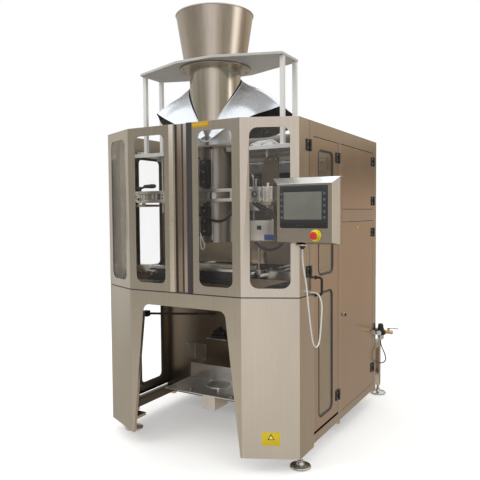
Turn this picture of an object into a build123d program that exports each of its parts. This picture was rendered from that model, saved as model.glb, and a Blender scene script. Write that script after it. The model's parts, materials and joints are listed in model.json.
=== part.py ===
from build123d import *
import os
from math import atan2, copysign, cos, degrees, hypot, pi, radians, sin, tan

# Vertical form fill sealer. Millimetres, +Z up, -Y is the operator's front.
# The model is laid out about the forming tube's axis at X = 0, Y = 0, and is
# moved at the end so that its origin is the middle of its footprint on the floor.

# ---- driving dimensions -------------------------------------------------
HALF_W = 680            # half width over the side panels
HALF_F = 392            # half width of the flat front, between the chamfers
FRONT_Y = -380          # flat front
CHAMFER_Y = -242        # where each chamfer meets the side
REAR_Y = 1160
BASE_Z = 80             # underside of the panels
SEAM_Z = 973            # joint between the base panel and the front doors
BODY_TOP = 1950
SHEET = 3               # panel sheet thickness
PAN = 22                # depth of a door's folded edge

POST_IN = 617           # inner face of the corner posts
FRONT_POST = (-105, -44)
MID_POST = (353, 385)
REAR_POST = (1082, REAR_Y)
SIDE_DOOR_Z = (165, 1862)
REAR_SPLIT = (1370, 1456)
BOTTOM_RAIL = (100, 150)
TOP_TUBE = (1900, BODY_TOP - SHEET)
FOOT_PAD = 20           # thickness of the plate over each front foot
FOOT_PAD_X = {1: (600, HALF_W - SHEET), -1: (-HALF_W + SHEET, -512)}
FOOT_PAD_FRONT = -225

PIN_X = 687.5           # hinge pin axis, just outside the side panel
PIN_R = 3.0
PIN_FIT = 0.05          # radial clearance of a running fit
FRONT_PIN_Y = -107
SIDE_PIN_Y = 351
REAR_PIN_Y = 1080.5
HINGE_H = 64

TUBE_R = 159            # forming tube, outside
TUBE_WALL = 2
TUBE_Z = (1258, 2340)
PLATE_Z = (2334, 2340)
PLATE_RIM = 2349        # top of the plate's folded edge
FUNNEL_R = (188, 240)
FUNNEL_TOP = 2660
DECK_Z = (1804, 1828)
FORMER_YAW = 14         # the forming shoulder is turned a little on its tube

JAW_Z = (1040, 1100)
JAW_OPEN = 60           # distance of each open jaw face from the tube's axis
ROD_X = 310
ROD_Z = 1070
ROD_R = 15

HMI_PIVOT = (745, -350)
HMI_FRONT_Y = -408
SPINDLE = (1400, 540)   # Y, Z of the film spindle

NODES = {}


# ---- helpers ------------------------------------------------------------
def block(x, y, z):
    """A box from three (low, high) pairs."""
    middle = ((x[0] + x[1]) / 2, (y[0] + y[1]) / 2, (z[0] + z[1]) / 2)
    return Pos(*middle) * Box(x[1] - x[0], y[1] - y[0], z[1] - z[0])


def rod(axis, centre, radius, span, inner=0):
    """A cylinder or tube along axis "x", "y" or "z"; centre is the other two coordinates."""
    middle = (span[0] + span[1]) / 2
    length = span[1] - span[0]
    solid = Cylinder(radius, length)
    if inner:
        solid -= Cylinder(inner, length)
    if axis == "x":
        return Pos(middle, centre[0], centre[1]) * (Rot(0, 90, 0) * solid)
    if axis == "y":
        return Pos(centre[0], middle, centre[1]) * (Rot(90, 0, 0) * solid)
    return Pos(centre[0], centre[1], middle) * solid


def prism(outline, z):
    """A polygon of (x, y) points extruded from z[0] to z[1]."""
    face = make_face(Polyline(*outline, close=True))
    return Pos(0, 0, z[0]) * extrude(face, z[1] - z[0], dir=(0, 0, 1))


def rounded(width, height, radius, depth):
    """A rounded rectangle in XZ, centred, with its depth along Y."""
    sketch = RectangleRounded(width, height, radius)
    return Rot(90, 0, 0) * Pos(0, 0, -depth / 2) * extrude(sketch, depth)


def mirrored(shape):
    return mirror(shape, about=Plane.YZ)


def offset_path(path, distance):
    """The open path moved to its left by distance, with mitred corners."""
    normals = []
    for (x0, y0), (x1, y1) in zip(path, path[1:]):
        length = hypot(x1 - x0, y1 - y0)
        normals.append((-(y1 - y0) / length, (x1 - x0) / length))
    pairs = [(normals[0], normals[0])] + list(zip(normals, normals[1:])) + [(normals[-1], normals[-1])]
    moved = []
    for (x, y), (a, b) in zip(path, pairs):
        scale = distance / (1 + a[0] * b[0] + a[1] * b[1])
        moved.append((x + (a[0] + b[0]) * scale, y + (a[1] + b[1]) * scale))
    return moved


def folded(path, near, far, z):
    """A sheet that follows path, from near to far behind it."""
    return prism(offset_path(path, near) + offset_path(path, far)[::-1], z)


def side_window(y, z, radius, x=HALF_W):
    """A rounded opening through the right-hand side, given its Y and Z spans."""
    cutter = rounded(y[1] - y[0], z[1] - z[0], radius, 60)
    return Pos(x, (y[0] + y[1]) / 2, (z[0] + z[1]) / 2) * (Rot(0, 0, 90) * cutter)


# ---- frame and fixed panels ---------------------------------------------
def frame_tubes():
    tubes = []
    bay = (FRONT_POST[1], MID_POST[0])
    rear_bay = (MID_POST[1], REAR_POST[0])
    for side in (1, -1):
        x = sorted((side * POST_IN, side * HALF_W))
        x_low = sorted((side * POST_IN, side * (HALF_W - SHEET)))
        tubes.append(block(x_low, FRONT_POST, (BASE_Z, SEAM_Z - 3)))
        tubes.append(block(x, FRONT_POST, (SEAM_Z - 3, BODY_TOP)))
        tubes.append(block(FOOT_PAD_X[side], (FOOT_PAD_FRONT, FRONT_POST[0]), (BASE_Z, BASE_Z + FOOT_PAD)))
        tubes.append(block(x, MID_POST, (BASE_Z, BODY_TOP)))
        tubes.append(block(x, REAR_POST, (BASE_Z, BODY_TOP)))
        for span in (bay, rear_bay):
            tubes.append(block(x, span, BOTTOM_RAIL))
            tubes.append(block(x, span, (SIDE_DOOR_Z[1] + 4, BODY_TOP)))
        if side > 0:
            tubes.append(block(x, rear_bay, (REAR_SPLIT[0] + 3, REAR_SPLIT[1] - 3)))
    inner = (-POST_IN, POST_IN)
    rear_tube = (REAR_POST[0], REAR_POST[0] + 40)
    tubes += [block(inner, MID_POST, TOP_TUBE), block(inner, rear_tube, TOP_TUBE)]
    tubes.append(block(inner, rear_tube, BOTTOM_RAIL))
    # brackets of the vertical sealer: the pivot's on the right, the latch's on the left
    tubes += [block((470, POST_IN), (-104, -70), SEALER_BRACKET),
              block((470, 530), (-282, -104), SEALER_BRACKET)]
    tubes.append(rod("z", SEALER_PIVOT, 9.0, (SEALER_BRACKET[1], 1600)))
    tubes += [block((-POST_IN, -400), (-104, -70), SEALER_BRACKET),
              block((-440, -400), (-238, -104), SEALER_BRACKET)]
    NODES["frame_tubes"] = tubes


SEALER_PIVOT = (500, -258)
SEALER_BRACKET = (1480, 1494)


def front_base_panel():
    path = [(-HALF_W, FRONT_POST[1]), (-HALF_W, CHAMFER_Y), (-HALF_F, FRONT_Y)]
    path += [(-x, y) for x, y in path[::-1]]
    shelf_path = path[1:-1]
    panel = folded(path, 0, SHEET, (BASE_Z, SEAM_Z - 3))
    top_half = 288
    foot_half = 382
    top_z = 890
    corner = 45
    outline = Polyline((-foot_half, BASE_Z - 1), (-top_half, top_z), (top_half, top_z), (foot_half, BASE_Z - 1),
                       close=True)
    opening = make_face(outline)
    upper = opening.vertices().sort_by(Axis.Y)[-2:]
    opening = fillet(upper, corner)
    cutter = Pos(0, FRONT_Y + 40, 0) * (Rot(90, 0, 0) * extrude(opening, 80))
    panel -= cutter
    panel += folded(shelf_path, SHEET, PAN, (SEAM_Z - 6, SEAM_Z - 3))
    slope = (foot_half - top_half) / (top_z - BASE_Z)
    for side in (1, -1):
        low = side * foot_half
        high = side * (foot_half - slope * (top_z - corner - BASE_Z))
        lip = make_face(Polyline((low, BASE_Z), (high, top_z - corner), (high + side * 3, top_z - corner),
                                 (low + side * 3, BASE_Z), close=True))
        panel += Pos(0, FRONT_Y + PAN, 0) * (Rot(90, 0, 0) * extrude(lip, PAN - SHEET))
    panel += block((-top_half + corner, top_half - corner), (FRONT_Y + SHEET, FRONT_Y + PAN),
                   (top_z, top_z + 3))
    NODES["front_base_panel"] = [panel]


def pan_panel(x_out, y, z):
    """A right-hand side panel with folded edges, as a single sheet."""
    outer = block((x_out - PAN, x_out), y, z)
    pocket = block((x_out - PAN - 1, x_out - SHEET), (y[0] + SHEET, y[1] - SHEET), (z[0] + SHEET, z[1] - SHEET))
    return outer - pocket


def fixed_panels():
    rear = block((-POST_IN + 1, POST_IN - 1), (REAR_Y - SHEET, REAR_Y), (BOTTOM_RAIL[1] + 2, BODY_TOP - SHEET))
    roof = block((-POST_IN, POST_IN), (MID_POST[0], REAR_Y), (BODY_TOP - SHEET, BODY_TOP))
    bay = (FRONT_POST[1] + 2, MID_POST[0] - 2)
    front_left = pan_panel(HALF_W, bay, SIDE_DOOR_Z)
    for window in LEFT_WINDOWS:
        front_left -= side_window(*window)
    rear_left = pan_panel(HALF_W, (MID_POST[1] + 2, REAR_POST[0] - 2), (BOTTOM_RAIL[1] + 2, SIDE_DOOR_Z[1]))
    wall = block((-POST_IN, POST_IN), (MID_POST[0], MID_POST[0] + SHEET), (BOTTOM_RAIL[0], TOP_TUBE[0]))
    NODES["fixed_panels"] = [rear, roof, wall, mirrored(front_left), mirrored(rear_left)]


SIDE_WINDOWS = (((27, 260), (1069, 1798), 40), ((30, 250), (223, 965), 40))
LEFT_WINDOWS = (((44, 292), (1059, 1821), 40), ((44, 288), (223, 965), 40))


def side_panes(windows):
    return [block((HALF_W - 8, HALF_W - 4), (y[0] - 15, y[1] + 15), (z[0] - 15, z[1] + 15))
            for y, z, radius in windows]


FEET = ((645, -160), (-570, -160), (645, 1344), (-645, 1344))


def levelling_feet():
    feet = []
    for x, y in FEET:
        foot = rod("z", (x, y), 60, (0, 12)) + rod("z", (x, y), 34, (12, 22))
        foot += rod("z", (x, y), 10, (22, BASE_Z))
        nut = Pos(x, y, 58) * extrude(RegularPolygon(25, 6), 22)
        nut -= rod("z", (x, y), 10, (50, 90))
        feet += [foot, nut]
    NODES["levelling_feet"] = feet


# ---- platform, funnel, tube and shoulder --------------------------------
PLATFORM_POSTS = ((500, -70), (500, 100))


def platform():
    NODES["platform_posts"] = [
        block((side * x - 12.5, side * x + 12.5), (y - 12.5, y + 12.5), (DECK_Z[1], PLATE_Z[0]))
        for side in (1, -1) for x, y in PLATFORM_POSTS]
    outline = [(515, -105), (125, -245), (-125, -245), (-515, -105),
               (-515, 115), (-125, 255), (125, 255), (515, 115)]
    within = [(x - copysign(SHEET, x), y - copysign(SHEET, y)) for x, y in outline]
    plate = prism(outline, (PLATE_Z[0], PLATE_RIM)) - prism(within, (PLATE_Z[1], PLATE_RIM + 1))
    plate -= rod("z", (0, 0), 160, (2300, 2400))
    NODES["platform_plate"] = [plate]
    bolts = []
    for side in (1, -1):
        for x, y in PLATFORM_POSTS:
            bolts.append(Pos(side * x, y, PLATE_Z[1]) * extrude(RegularPolygon(10, 6), 8))
    for step in range(6):
        angle = radians(30 + 60 * step)
        centre = (205 * cos(angle), 205 * sin(angle))
        bolts.append(Pos(*centre, PLATE_Z[1]) * extrude(RegularPolygon(8, 6), 6))
    NODES["platform_bolts"] = bolts
    deck = block((-POST_IN, POST_IN), (-110, 190), (DECK_Z[1] - 6, DECK_Z[1]))
    deck += block((-POST_IN, POST_IN), (-110, -104), (DECK_Z[0], DECK_Z[1] - 6))
    deck += block((-POST_IN, POST_IN), (184, 190), (DECK_Z[0], DECK_Z[1] - 6))
    deck -= rod("z", (0, 0), 178, (1700, 1900))
    NODES["inner_deck"] = [deck]
    ring = rod("z", (0, 0), 222, (2322, PLATE_Z[0]), inner=TUBE_R)
    NODES["tube_flange"] = [ring]


def funnel_and_tube():
    wall = 3
    low = PLATE_Z[1]
    bottom_in = TUBE_R - TUBE_WALL
    outline = Polyline((bottom_in, low), (FUNNEL_R[0], low), (FUNNEL_R[1], FUNNEL_TOP),
                       (FUNNEL_R[1] - wall, FUNNEL_TOP), (FUNNEL_R[0] - wall, low + wall),
                       (bottom_in, low + wall), close=True)
    profile = make_face(outline)
    NODES["hopper_funnel"] = [revolve(Rot(90, 0, 0) * profile, Axis.Z)]
    NODES["forming_tube"] = [rod("z", (0, 0), TUBE_R, TUBE_Z, inner=TUBE_R - TUBE_WALL)]


def bend_height(angle):
    """Height of the shoulder's bending curve, angle in degrees from its front."""
    around = min(angle, 360 - angle) / 180
    return 1877 + 425 * (1 - (1 - around) ** 2.5)


LEFT_WING = 0.88        # the left wing's reach beside the right wing's


def wing_edge(angle):
    """The wings' outer edge at the end of the ruling that starts at angle, on the right side."""
    stations = ((0, 22, -185, 1868), (22, 140, -215, 1938), (45, 300, -170, 2012), (70, 440, -40, 2078),
                (92, 474, 100, 2040), (112, 440, 190, 1968), (145, 300, 240, 1930), (180, 0, 285, 1930))
    side = 1 if angle <= 180 else -LEFT_WING
    folded_angle = min(angle, 360 - angle)
    for (a0, *p0), (a1, *p1) in zip(stations, stations[1:]):
        if folded_angle <= a1:
            part = (folded_angle - a0) / (a1 - a0)
            x, y, z = (u + (v - u) * part for u, v in zip(p0, p1))
            return (side * x, y, z)


def sheet_from(rows):
    """A 2 mm sheet on the smooth surface through rows of points."""
    surface = Face.make_surface_from_array_of_points(rows, tol=1.0)
    sheet = Solid.thicken(surface, 2)
    return sheet if sheet.volume > 0 else Solid.thicken(surface, -2)


def forming_shoulder():
    collar_r = 165
    start = 4
    steps = 44
    angles = [start + (360 - 2 * start) * i / steps for i in range(steps + 1)]
    collar_rows = []
    wing_rows = []
    for angle in angles:
        turn = radians(angle)
        x, y = sin(turn), -cos(turn)
        height = bend_height(angle)
        collar_rows.append([Vector(collar_r * x, collar_r * y, DECK_Z[1] + 10 + (height - DECK_Z[1] - 10) * k / 3)
                            for k in range(4)])
        base = Vector(collar_r * x + 3 * x, collar_r * y + 3 * y, height + 1)
        tip = Vector(*wing_edge(angle))
        rise = Vector(0, 0, 1) * (46 if angle < 180 else 14) * sin(turn) ** 2
        wing_rows.append([base + (tip - base) * (k / 4) + rise * sin(pi * k / 4) for k in range(5)])
    collar = sheet_from(collar_rows)
    wings = sheet_from(wing_rows)
    turned = Rot(0, 0, FORMER_YAW)
    NODES["forming_shoulder"] = [turned * collar, turned * wings]
    base = block((-240, 240), (-215, 185), (DECK_Z[1], DECK_Z[1] + 10))
    base -= rod("z", (0, 0), 168, (1700, 1900))
    NODES["shoulder_base"] = [base]


# ---- doors --------------------------------------------------------------
FRONT_HINGE_Z = (1809, 1106)
SIDE_HINGE_Z = (1773, 276)
UPPER_HINGE_Z = (1801, 1515)
LOWER_HINGE_Z = (1286, 277)
FRONT_WINDOW = ((120, 340), (1022, 1897), 40)
CHAMFER_WINDOW = ((51, 271), (1024, 1895), 45)
CHAMFER_ANGLE = degrees(atan2(CHAMFER_Y - FRONT_Y, HALF_W - HALF_F))


def hinge(pin_y, z, moving):
    """One half of a right-hand leaf hinge: the moving leaf, or the fixed leaf with its pin."""
    knuckle_r = 7
    gap = 0.3
    reach = 44 if moving else 33
    direction = -1 if moving else 1
    near, far = sorted((pin_y + direction * 8.5, pin_y + direction * reach))
    leaf = block((HALF_W, HALF_W + 4), (near, far), (z - HINGE_H / 2, z + HINGE_H / 2))
    half = (z + gap, z + HINGE_H / 2) if moving else (z - HINGE_H / 2, z - gap)
    web = sorted((pin_y, pin_y + direction * 8.5))
    body = leaf + block((HALF_W + 1, HALF_W + 5), web, half) + rod("z", (PIN_X, pin_y), knuckle_r, half)
    if moving:
        return body - rod("z", (PIN_X, pin_y), PIN_R + PIN_FIT, (z - HINGE_H, z + HINGE_H))
    return body + rod("z", (PIN_X, pin_y), PIN_R, (z - HINGE_H / 2, z + HINGE_H / 2 + 1))


def hinges():
    right_sets = ((FRONT_PIN_Y, FRONT_HINGE_Z, "front_right"), (SIDE_PIN_Y, SIDE_HINGE_Z, "side_right"),
                  (REAR_PIN_Y, UPPER_HINGE_Z, "rear_upper"), (REAR_PIN_Y, LOWER_HINGE_Z, "rear_lower"))
    fixed = []
    for pin_y, heights, name in right_sets:
        fixed += [hinge(pin_y, z, False) for z in heights]
        NODES["hinge_leaves_" + name] = [hinge(pin_y, z, True) for z in heights]
    fixed += [mirrored(hinge(FRONT_PIN_Y, z, False)) for z in FRONT_HINGE_Z]
    NODES["hinge_leaves_front_left"] = [mirrored(leaf) for leaf in NODES["hinge_leaves_front_right"]]
    NODES["hinge_fixed_leaves"] = fixed


def on_chamfer(along, depth, z):
    """A place on the right chamfer: along it from the front corner, and behind its face."""
    turn = radians(CHAMFER_ANGLE)
    return Pos(HALF_F + along * cos(turn) - depth * sin(turn),
               FRONT_Y + along * sin(turn) + depth * cos(turn), z) * Rot(0, 0, CHAMFER_ANGLE)


def front_doors():
    z = (SEAM_Z + 3, BODY_TOP)
    path = [(2, FRONT_Y + 12), (42, FRONT_Y + 12), (42, FRONT_Y), (HALF_F, FRONT_Y), (HALF_W, CHAMFER_Y),
            (HALF_W, FRONT_PIN_Y - 1.5)]
    door = folded(path, 0, SHEET, z)
    for flange in ((z[0], z[0] + SHEET), (z[1] - SHEET, z[1])):
        door += folded(path[2:], 0, PAN, flange)
    door += block((HALF_W - PAN, HALF_W), (FRONT_PIN_Y - 4.5, FRONT_PIN_Y - 1.5), z)
    door += block((2, 5), (FRONT_Y + 12, FRONT_Y + 12 + PAN), z)
    x_span, z_span, radius = FRONT_WINDOW
    middle_z = (z_span[0] + z_span[1]) / 2
    cutter = rounded(x_span[1] - x_span[0], z_span[1] - z_span[0], radius, 30)
    door -= Pos((x_span[0] + x_span[1]) / 2, FRONT_Y, middle_z) * cutter
    along, c_span, c_radius = CHAMFER_WINDOW
    cutter = rounded(along[1] - along[0], c_span[1] - c_span[0], c_radius, 30)
    door -= on_chamfer((along[0] + along[1]) / 2, 0, (c_span[0] + c_span[1]) / 2) * cutter
    lap = 14
    depth = (3.2, 7.2)
    front_pane = block((x_span[0] - lap, x_span[1] + lap), (FRONT_Y + depth[0], FRONT_Y + depth[1]),
                       (z_span[0] - lap, z_span[1] + lap))
    side_pane = on_chamfer((along[0] + along[1]) / 2, sum(depth) / 2, (c_span[0] + c_span[1]) / 2) * Box(
        along[1] - along[0] + 2 * lap, depth[1] - depth[0], c_span[1] - c_span[0] + 2 * lap)
    entry = rod("x", CABLE_ENTRY[1:], 5.2, (HALF_W - 10, HALF_W + 10))
    NODES["front_door_right"] = [door - entry]
    NODES["front_door_left"] = [mirrored(door)]
    NODES["door_windows_right"] = [front_pane, side_pane]
    NODES["door_windows_left"] = [mirrored(front_pane), mirrored(side_pane)]
    NODES["door_seal_strip"] = [block((42, 77), (FRONT_Y - 3, FRONT_Y), z)]


def side_doors():
    door = pan_panel(HALF_W, (FRONT_POST[1] + 2, SIDE_PIN_Y - 2), SIDE_DOOR_Z)
    for window in SIDE_WINDOWS:
        door -= side_window(*window)
    NODES["side_door_right"] = [door]
    NODES["side_windows_right"] = side_panes(SIDE_WINDOWS)
    NODES["side_windows_left"] = [mirrored(pane) for pane in side_panes(LEFT_WINDOWS)]
    handle = block((HALF_W + 33, HALF_W + 45), (-26, -10), (955, 1071))
    for z in ((955, 971), (1055, 1071)):
        handle += block((HALF_W, HALF_W + 36), (-26, -10), z)
    NODES["side_handle_right"] = [handle]
    bay = (MID_POST[1] + 2, REAR_PIN_Y - 1.5)
    NODES["rear_upper_door"] = [pan_panel(HALF_W, bay, (REAR_SPLIT[1], SIDE_DOOR_Z[1]))]
    lower = pan_panel(HALF_W, bay, (BOTTOM_RAIL[1] + 2, REAR_SPLIT[0]))
    NODES["rear_lower_door"] = [lower - rod("x", LOCK, 9.05, (HALF_W - 10, HALF_W + 10))]
    lock = rod("x", LOCK, 9, (HALF_W - 20, HALF_W + 3)) + rod("x", LOCK, 14, (HALF_W + 0.3, HALF_W + 6))
    lock += block((HALF_W - 19, HALF_W - 15), (LOCK[0] - 34, LOCK[0]), (LOCK[1] - 8, LOCK[1] + 8))
    lock += block((HALF_W + 6, HALF_W + 16), (LOCK[0] - 2.5, LOCK[0] + 2.5), (LOCK[1] - 9, LOCK[1] + 9))
    NODES["cabinet_lock"] = [lock]


LOCK = (457, 772)


# ---- operator terminal --------------------------------------------------
CABLE_ENTRY = (HALF_W, -128, 991)
CABLE_ROUTE = ((745, -350, 1247), (745, -350, 1192), (747, -337, 1134), (750, -318, 1075), (753, -308, 1015),
               (755, -301, 955), (757, -291, 897), (758, -278, 838), (760, -260, 766), (763, -247, 726),
               (765, -226, 710), (767, -202, 709), (768, -183, 724), (769, -174, 748), (770, -165, 790),
               (771, -158, 842), (771, -151, 882), (770, -145, 913), (766, -141, 940), (757, -136, 964),
               (743, -131, 983), (722, -128, 991), (700, -128, 991))
CABLE_R = 4
HMI_FACE = ((629, 928), (1286, 1583))
HMI_BACK = ((579, 950), (1274, 1616))
HMI_BEVEL_Y = -350
HMI_REAR_Y = -318
BEZEL = ((645, 905), (1358, 1571))
ESTOP = (842, 1321)


def route_tube(route, radius):
    """A round cord along the route, with every corner as a tangent arc."""
    points = [Vector(*point) for point in route]
    radii = []
    for before, here, after in zip(points, points[1:], points[2:]):
        run = min((here - before).length, (after - here).length)
        turn = radians((here - before).get_angle(after - here))
        radii.append(0.45 * run / tan(turn / 2))
    print("cord radii", [round(value) for value in radii])
    path = FilletPolyline(*points, radius=radii)
    start = Plane(origin=path @ 0, z_dir=path % 0)
    cord = sweep(start * Circle(radius), path=path)
    ratio = cord.volume / (pi * radius ** 2 * path.length)
    print("cord volume ratio", round(ratio, 4), "length", round(path.length))
    return cord


def terminal():
    def rect(spans, y):
        (x0, x1), (z0, z1) = spans
        corners = ((x0, y, z0), (x1, y, z0), (x1, y, z1), (x0, y, z1))
        return make_face(Polyline(*corners, close=True))
    bevel = loft([rect(HMI_BACK, HMI_BEVEL_Y), rect(HMI_FACE, HMI_FRONT_Y)])
    body = bevel + block(HMI_BACK[0], (HMI_BEVEL_Y, HMI_REAR_Y), HMI_BACK[1])
    body -= block(BEZEL[0], (HMI_FRONT_Y - 1, HMI_FRONT_Y + 20), BEZEL[1])
    NODES["hmi_box"] = [body]
    screen = block(BEZEL[0], (HMI_FRONT_Y - 4, HMI_FRONT_Y + 20), BEZEL[1])
    NODES["hmi_screen"] = [screen]
    NODES["estop_base"] = [rod("y", ESTOP, 30, (HMI_FRONT_Y - 3, HMI_FRONT_Y))
                           + rod("y", ESTOP, 17, (HMI_FRONT_Y - 18, HMI_FRONT_Y - 3))]
    button = rod("y", ESTOP, 20, (HMI_FRONT_Y - 38, HMI_FRONT_Y - 25.5))
    button += rod("y", ESTOP, 12, (HMI_FRONT_Y - 25.5, HMI_FRONT_Y - 24.5))
    NODES["estop_button"] = [button]
    # the swivel: a bracket arm on the door, with the gland turning in its ring
    x, y = HMI_PIVOT
    low = HMI_BACK[1][0]
    arm_z = (low - 9, low - 1)
    arm = prism([(HALF_W, -165), (HALF_W, -235), (715, y - 20), (x + 10, y - 24), (x + 10, y + 24),
                 (705, -165)], arm_z)
    arm += rod("z", (x, y), 27, arm_z)
    arm += block((HALF_W, HALF_W + 5), (-235, -165), (low - 60, low - 1))
    socket = rod("x", CABLE_ENTRY[1:], 10, (HALF_W, CABLE_ROUTE[-1][0]))
    socket += rod("x", CABLE_ENTRY[1:], 5, (HALF_W - 8, HALF_W))
    NODES["hmi_bracket"] = [arm - rod("z", (x, y), 14.05, (low - 20, low)), socket]
    NODES["hmi_gland"] = [rod("z", (x, y), 14, (low - 12, low)) + rod("z", (x, y), 17, (low - 19, low - 9.5))
                          + rod("z", (x, y), 9, (1247, low - 19))]
    NODES["hmi_cable"] = [route_tube(CABLE_ROUTE, CABLE_R)]


# ---- vertical sealer, belts and jaws ------------------------------------
def vertical_sealer():
    arm = block((-428, 538), (-275, -241), (1502, 1575))
    arm += block((470, 538), (-281, -235), (1496, 1580))
    arm -= rod("z", SEALER_PIVOT, 9.06, (1490, 1590))
    arm -= block((-440, -395), (-280, -258), (1490, 1545))
    NODES["sealer_arm"] = [arm]
    slide = block((-70, 70), (-240.7, -222), (1496, 1581)) + block((-22, 22), (-222, -203), (1310, 1760))
    slide += block((-7, 7), (-203, -183), (1300, 1770))
    for z in (1400, 1660):
        slide += rod("y", (0, z), 22, (-262, -222))
    NODES["seal_bar"] = [slide]
    lever = rod("z", LEVER, 12, (1575.3, 1600)) + rod("x", (LEVER[1], 1594), 5, (LEVER[0] - 4, LEVER[0] + 62))
    lever += Pos(LEVER[0] + 66, LEVER[1], 1594) * Sphere(13)
    NODES["clamp_lever"] = [lever]


LEVER = (-405, -258)


def belt_unit(side):
    """A pull-down belt beside the tube: belt loop, two pulleys, carrier and motor."""
    centre_x = TUBE_R + 4 + 42
    pulleys_z = (1390, 1640)
    pulley_r = 38
    outer = pulley_r + 4
    loop = block((centre_x - outer, centre_x + outer), (-30, 30), pulleys_z)
    core = block((centre_x - pulley_r, centre_x + pulley_r), (-31, 31), pulleys_z)
    for z in pulleys_z:
        loop += rod("y", (centre_x, z), outer, (-30, 30))
        core += rod("y", (centre_x, z), pulley_r, (-31, 31))
    belt = loop - core
    solids = [belt]
    for z in pulleys_z:
        solids.append(rod("y", (centre_x, z), pulley_r, (-30, 30)))
    carrier = block((centre_x - 25, centre_x + 47), (30.5, 42), (1360, 1670))
    carrier += block((centre_x + 44, centre_x + 115), (-30, 42), (1450, 1580))
    carrier -= rod("x", (0, BELT_ROD_Z), 12.06, (centre_x + 40, centre_x + 120))
    motor = block((centre_x - 35, centre_x + 35), (42, 160), (1605, 1675))
    solids += [carrier, motor]
    return solids if side > 0 else [mirrored(solid) for solid in solids]


BELT_ROD_Z = 1515


def belts():
    NODES["belt_unit_right"] = belt_unit(1)
    NODES["belt_unit_left"] = belt_unit(-1)
    hanger = block((380, 392), (-50, 50), (1440, DECK_Z[1] - 6)) + rod("x", (0, BELT_ROD_Z), 12, (291, 380))
    NODES["belt_hangers"] = [hanger, mirrored(hanger)]


def jaws():
    half = 250
    z = JAW_Z
    front = block((-half, half), (-130, -JAW_OPEN), z)
    front -= block((-half - 1, half + 1), (-90, -JAW_OPEN + 1), (ROD_Z - 5, ROD_Z + 5))
    front += block((-345, 345), (-250, -210), (1020, 1110))
    for side in (1, -1):
        front += block((side * 200 - 15, side * 200 + 15), (-211, -129), (1050, 1090))
        front -= rod("y", (side * ROD_X, ROD_Z), ROD_R + PIN_FIT, (-300, -200))
    NODES["jaw_front"] = [front]
    rear = block((-half, half), (JAW_OPEN, 131), z)
    rear += block((-345, 345), (130, 170), z)
    rear -= block((-half - 1, half + 1), (JAW_OPEN - 1, 120), (ROD_Z - 5, ROD_Z + 5))
    for side in (1, -1):
        rear -= rod("y", (side * ROD_X, ROD_Z), ROD_R + PIN_FIT, (100, 200))
    NODES["jaw_rear"] = [rear]
    NODES["cutting_knife"] = [block((-half + 6, half - 6), (JAW_OPEN + 2, 95), (ROD_Z - 1.5, ROD_Z + 1.5))]
    guide = block((-POST_IN, POST_IN), (330, 353), (1045, 1095))
    for side in (1, -1):
        guide += rod("y", (side * ROD_X, ROD_Z), ROD_R, (-300, 340))
        guide += block(sorted((side * 290, side * POST_IN)), FRONT_POST, (1045, 1095))
    guide += rod("y", (0, ROD_Z), 32, (225, 331)) + rod("y", (0, ROD_Z), 10, (171, 226))
    NODES["jaw_guides"] = [guide]


def tube_guard():
    x = 286
    guard = block((-x - 4, x + 4), (-205, -201), (1125, 1262))
    for side in (1, -1):
        guard += block(sorted((side * x, side * (x + 4))), (-205, 60), (1125, 1262))
        guard += block(sorted((side * x, side * (x + 4))), (-100, -50), (1040, 1125))
    NODES["tube_guard"] = [guard]


def bag_support():
    tray = block((-330, 330), (-130, 170), (296, 302)) + block((-330, 330), (167, 170), (302, 400))
    housing = block((-45, 45), (-113, 45), (205, 296))
    arms = [block((side * 200 - 20, side * 200 + 20), (60, MID_POST[0]), (276, 296)) for side in (1, -1)]
    base = tray + housing + arms[0] + arms[1]
    NODES["bag_lift_base"] = [base - rod("z", (0, 0), 14.06, (209, 310))]
    NODES["bag_support"] = [rod("z", (0, 0), 14, (210, 327)) + rod("z", (0, 0), 77, (327, 335))]


# ---- rear: film rack, air unit and cabinet ------------------------------
def film_rack():
    y, z = SPINDLE
    beam_z = (380, 430)
    solids = [block((-620, 620), (REAR_Y + 4, REAR_Y + 24), beam_z), block((-620, 620), (1330, 1358), beam_z)]
    for side in (1, -1):
        x = sorted((side * 620, side * 660))
        solids.append(block(x, (REAR_Y, 1364), beam_z))
        solids.append(block(x, (1324, 1364), (BASE_Z, beam_z[0])))
        x = sorted((side * 560, side * 590))
        solids.append(block(x, (REAR_Y + 24, 1330), beam_z))
        upright = block(x, (REAR_Y + 4, 1220), (beam_z[1], 900))
        upright -= rod("x", DANCER, 12.06, (-700, 700))
        upright -= rod("x", IDLER, 12.06, (-700, 700))
        bearing = block(x, (1358, y + 30), (beam_z[0], z + 30)) - rod("x", SPINDLE, 20.06, (-700, 700))
        solids += [upright, bearing]
    NODES["film_rack"] = solids
    spindle = rod("x", SPINDLE, 20, (-598, 598))
    for side in (1, -1):
        cone = Cone(70, 30, 60)
        spindle += Pos(side * 330, y, z) * (Rot(0, side * -90, 0) * cone)
        spindle += rod("x", SPINDLE, 34, sorted((side * 360, side * 390)))
    NODES["film_spindle"] = [spindle]
    dy, dz = DANCER
    dancer = rod("x", DANCER, 12, (-596, 596)) + rod("x", (dy + 150, dz), 22, (-500, 500))
    for side in (1, -1):
        dancer += block(sorted((side * 520, side * 532)), (dy - 20, dy + 170), (dz - 16, dz + 16))
        dancer += rod("x", (dy + 150, dz), 10, sorted((side * 495, side * 525)))
    NODES["dancer_arm"] = [dancer]
    idler = rod("x", IDLER, 12, (-596, 596)) + rod("x", IDLER, 24, (-540, 540))
    NODES["film_idler_roller"] = [idler]


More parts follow.
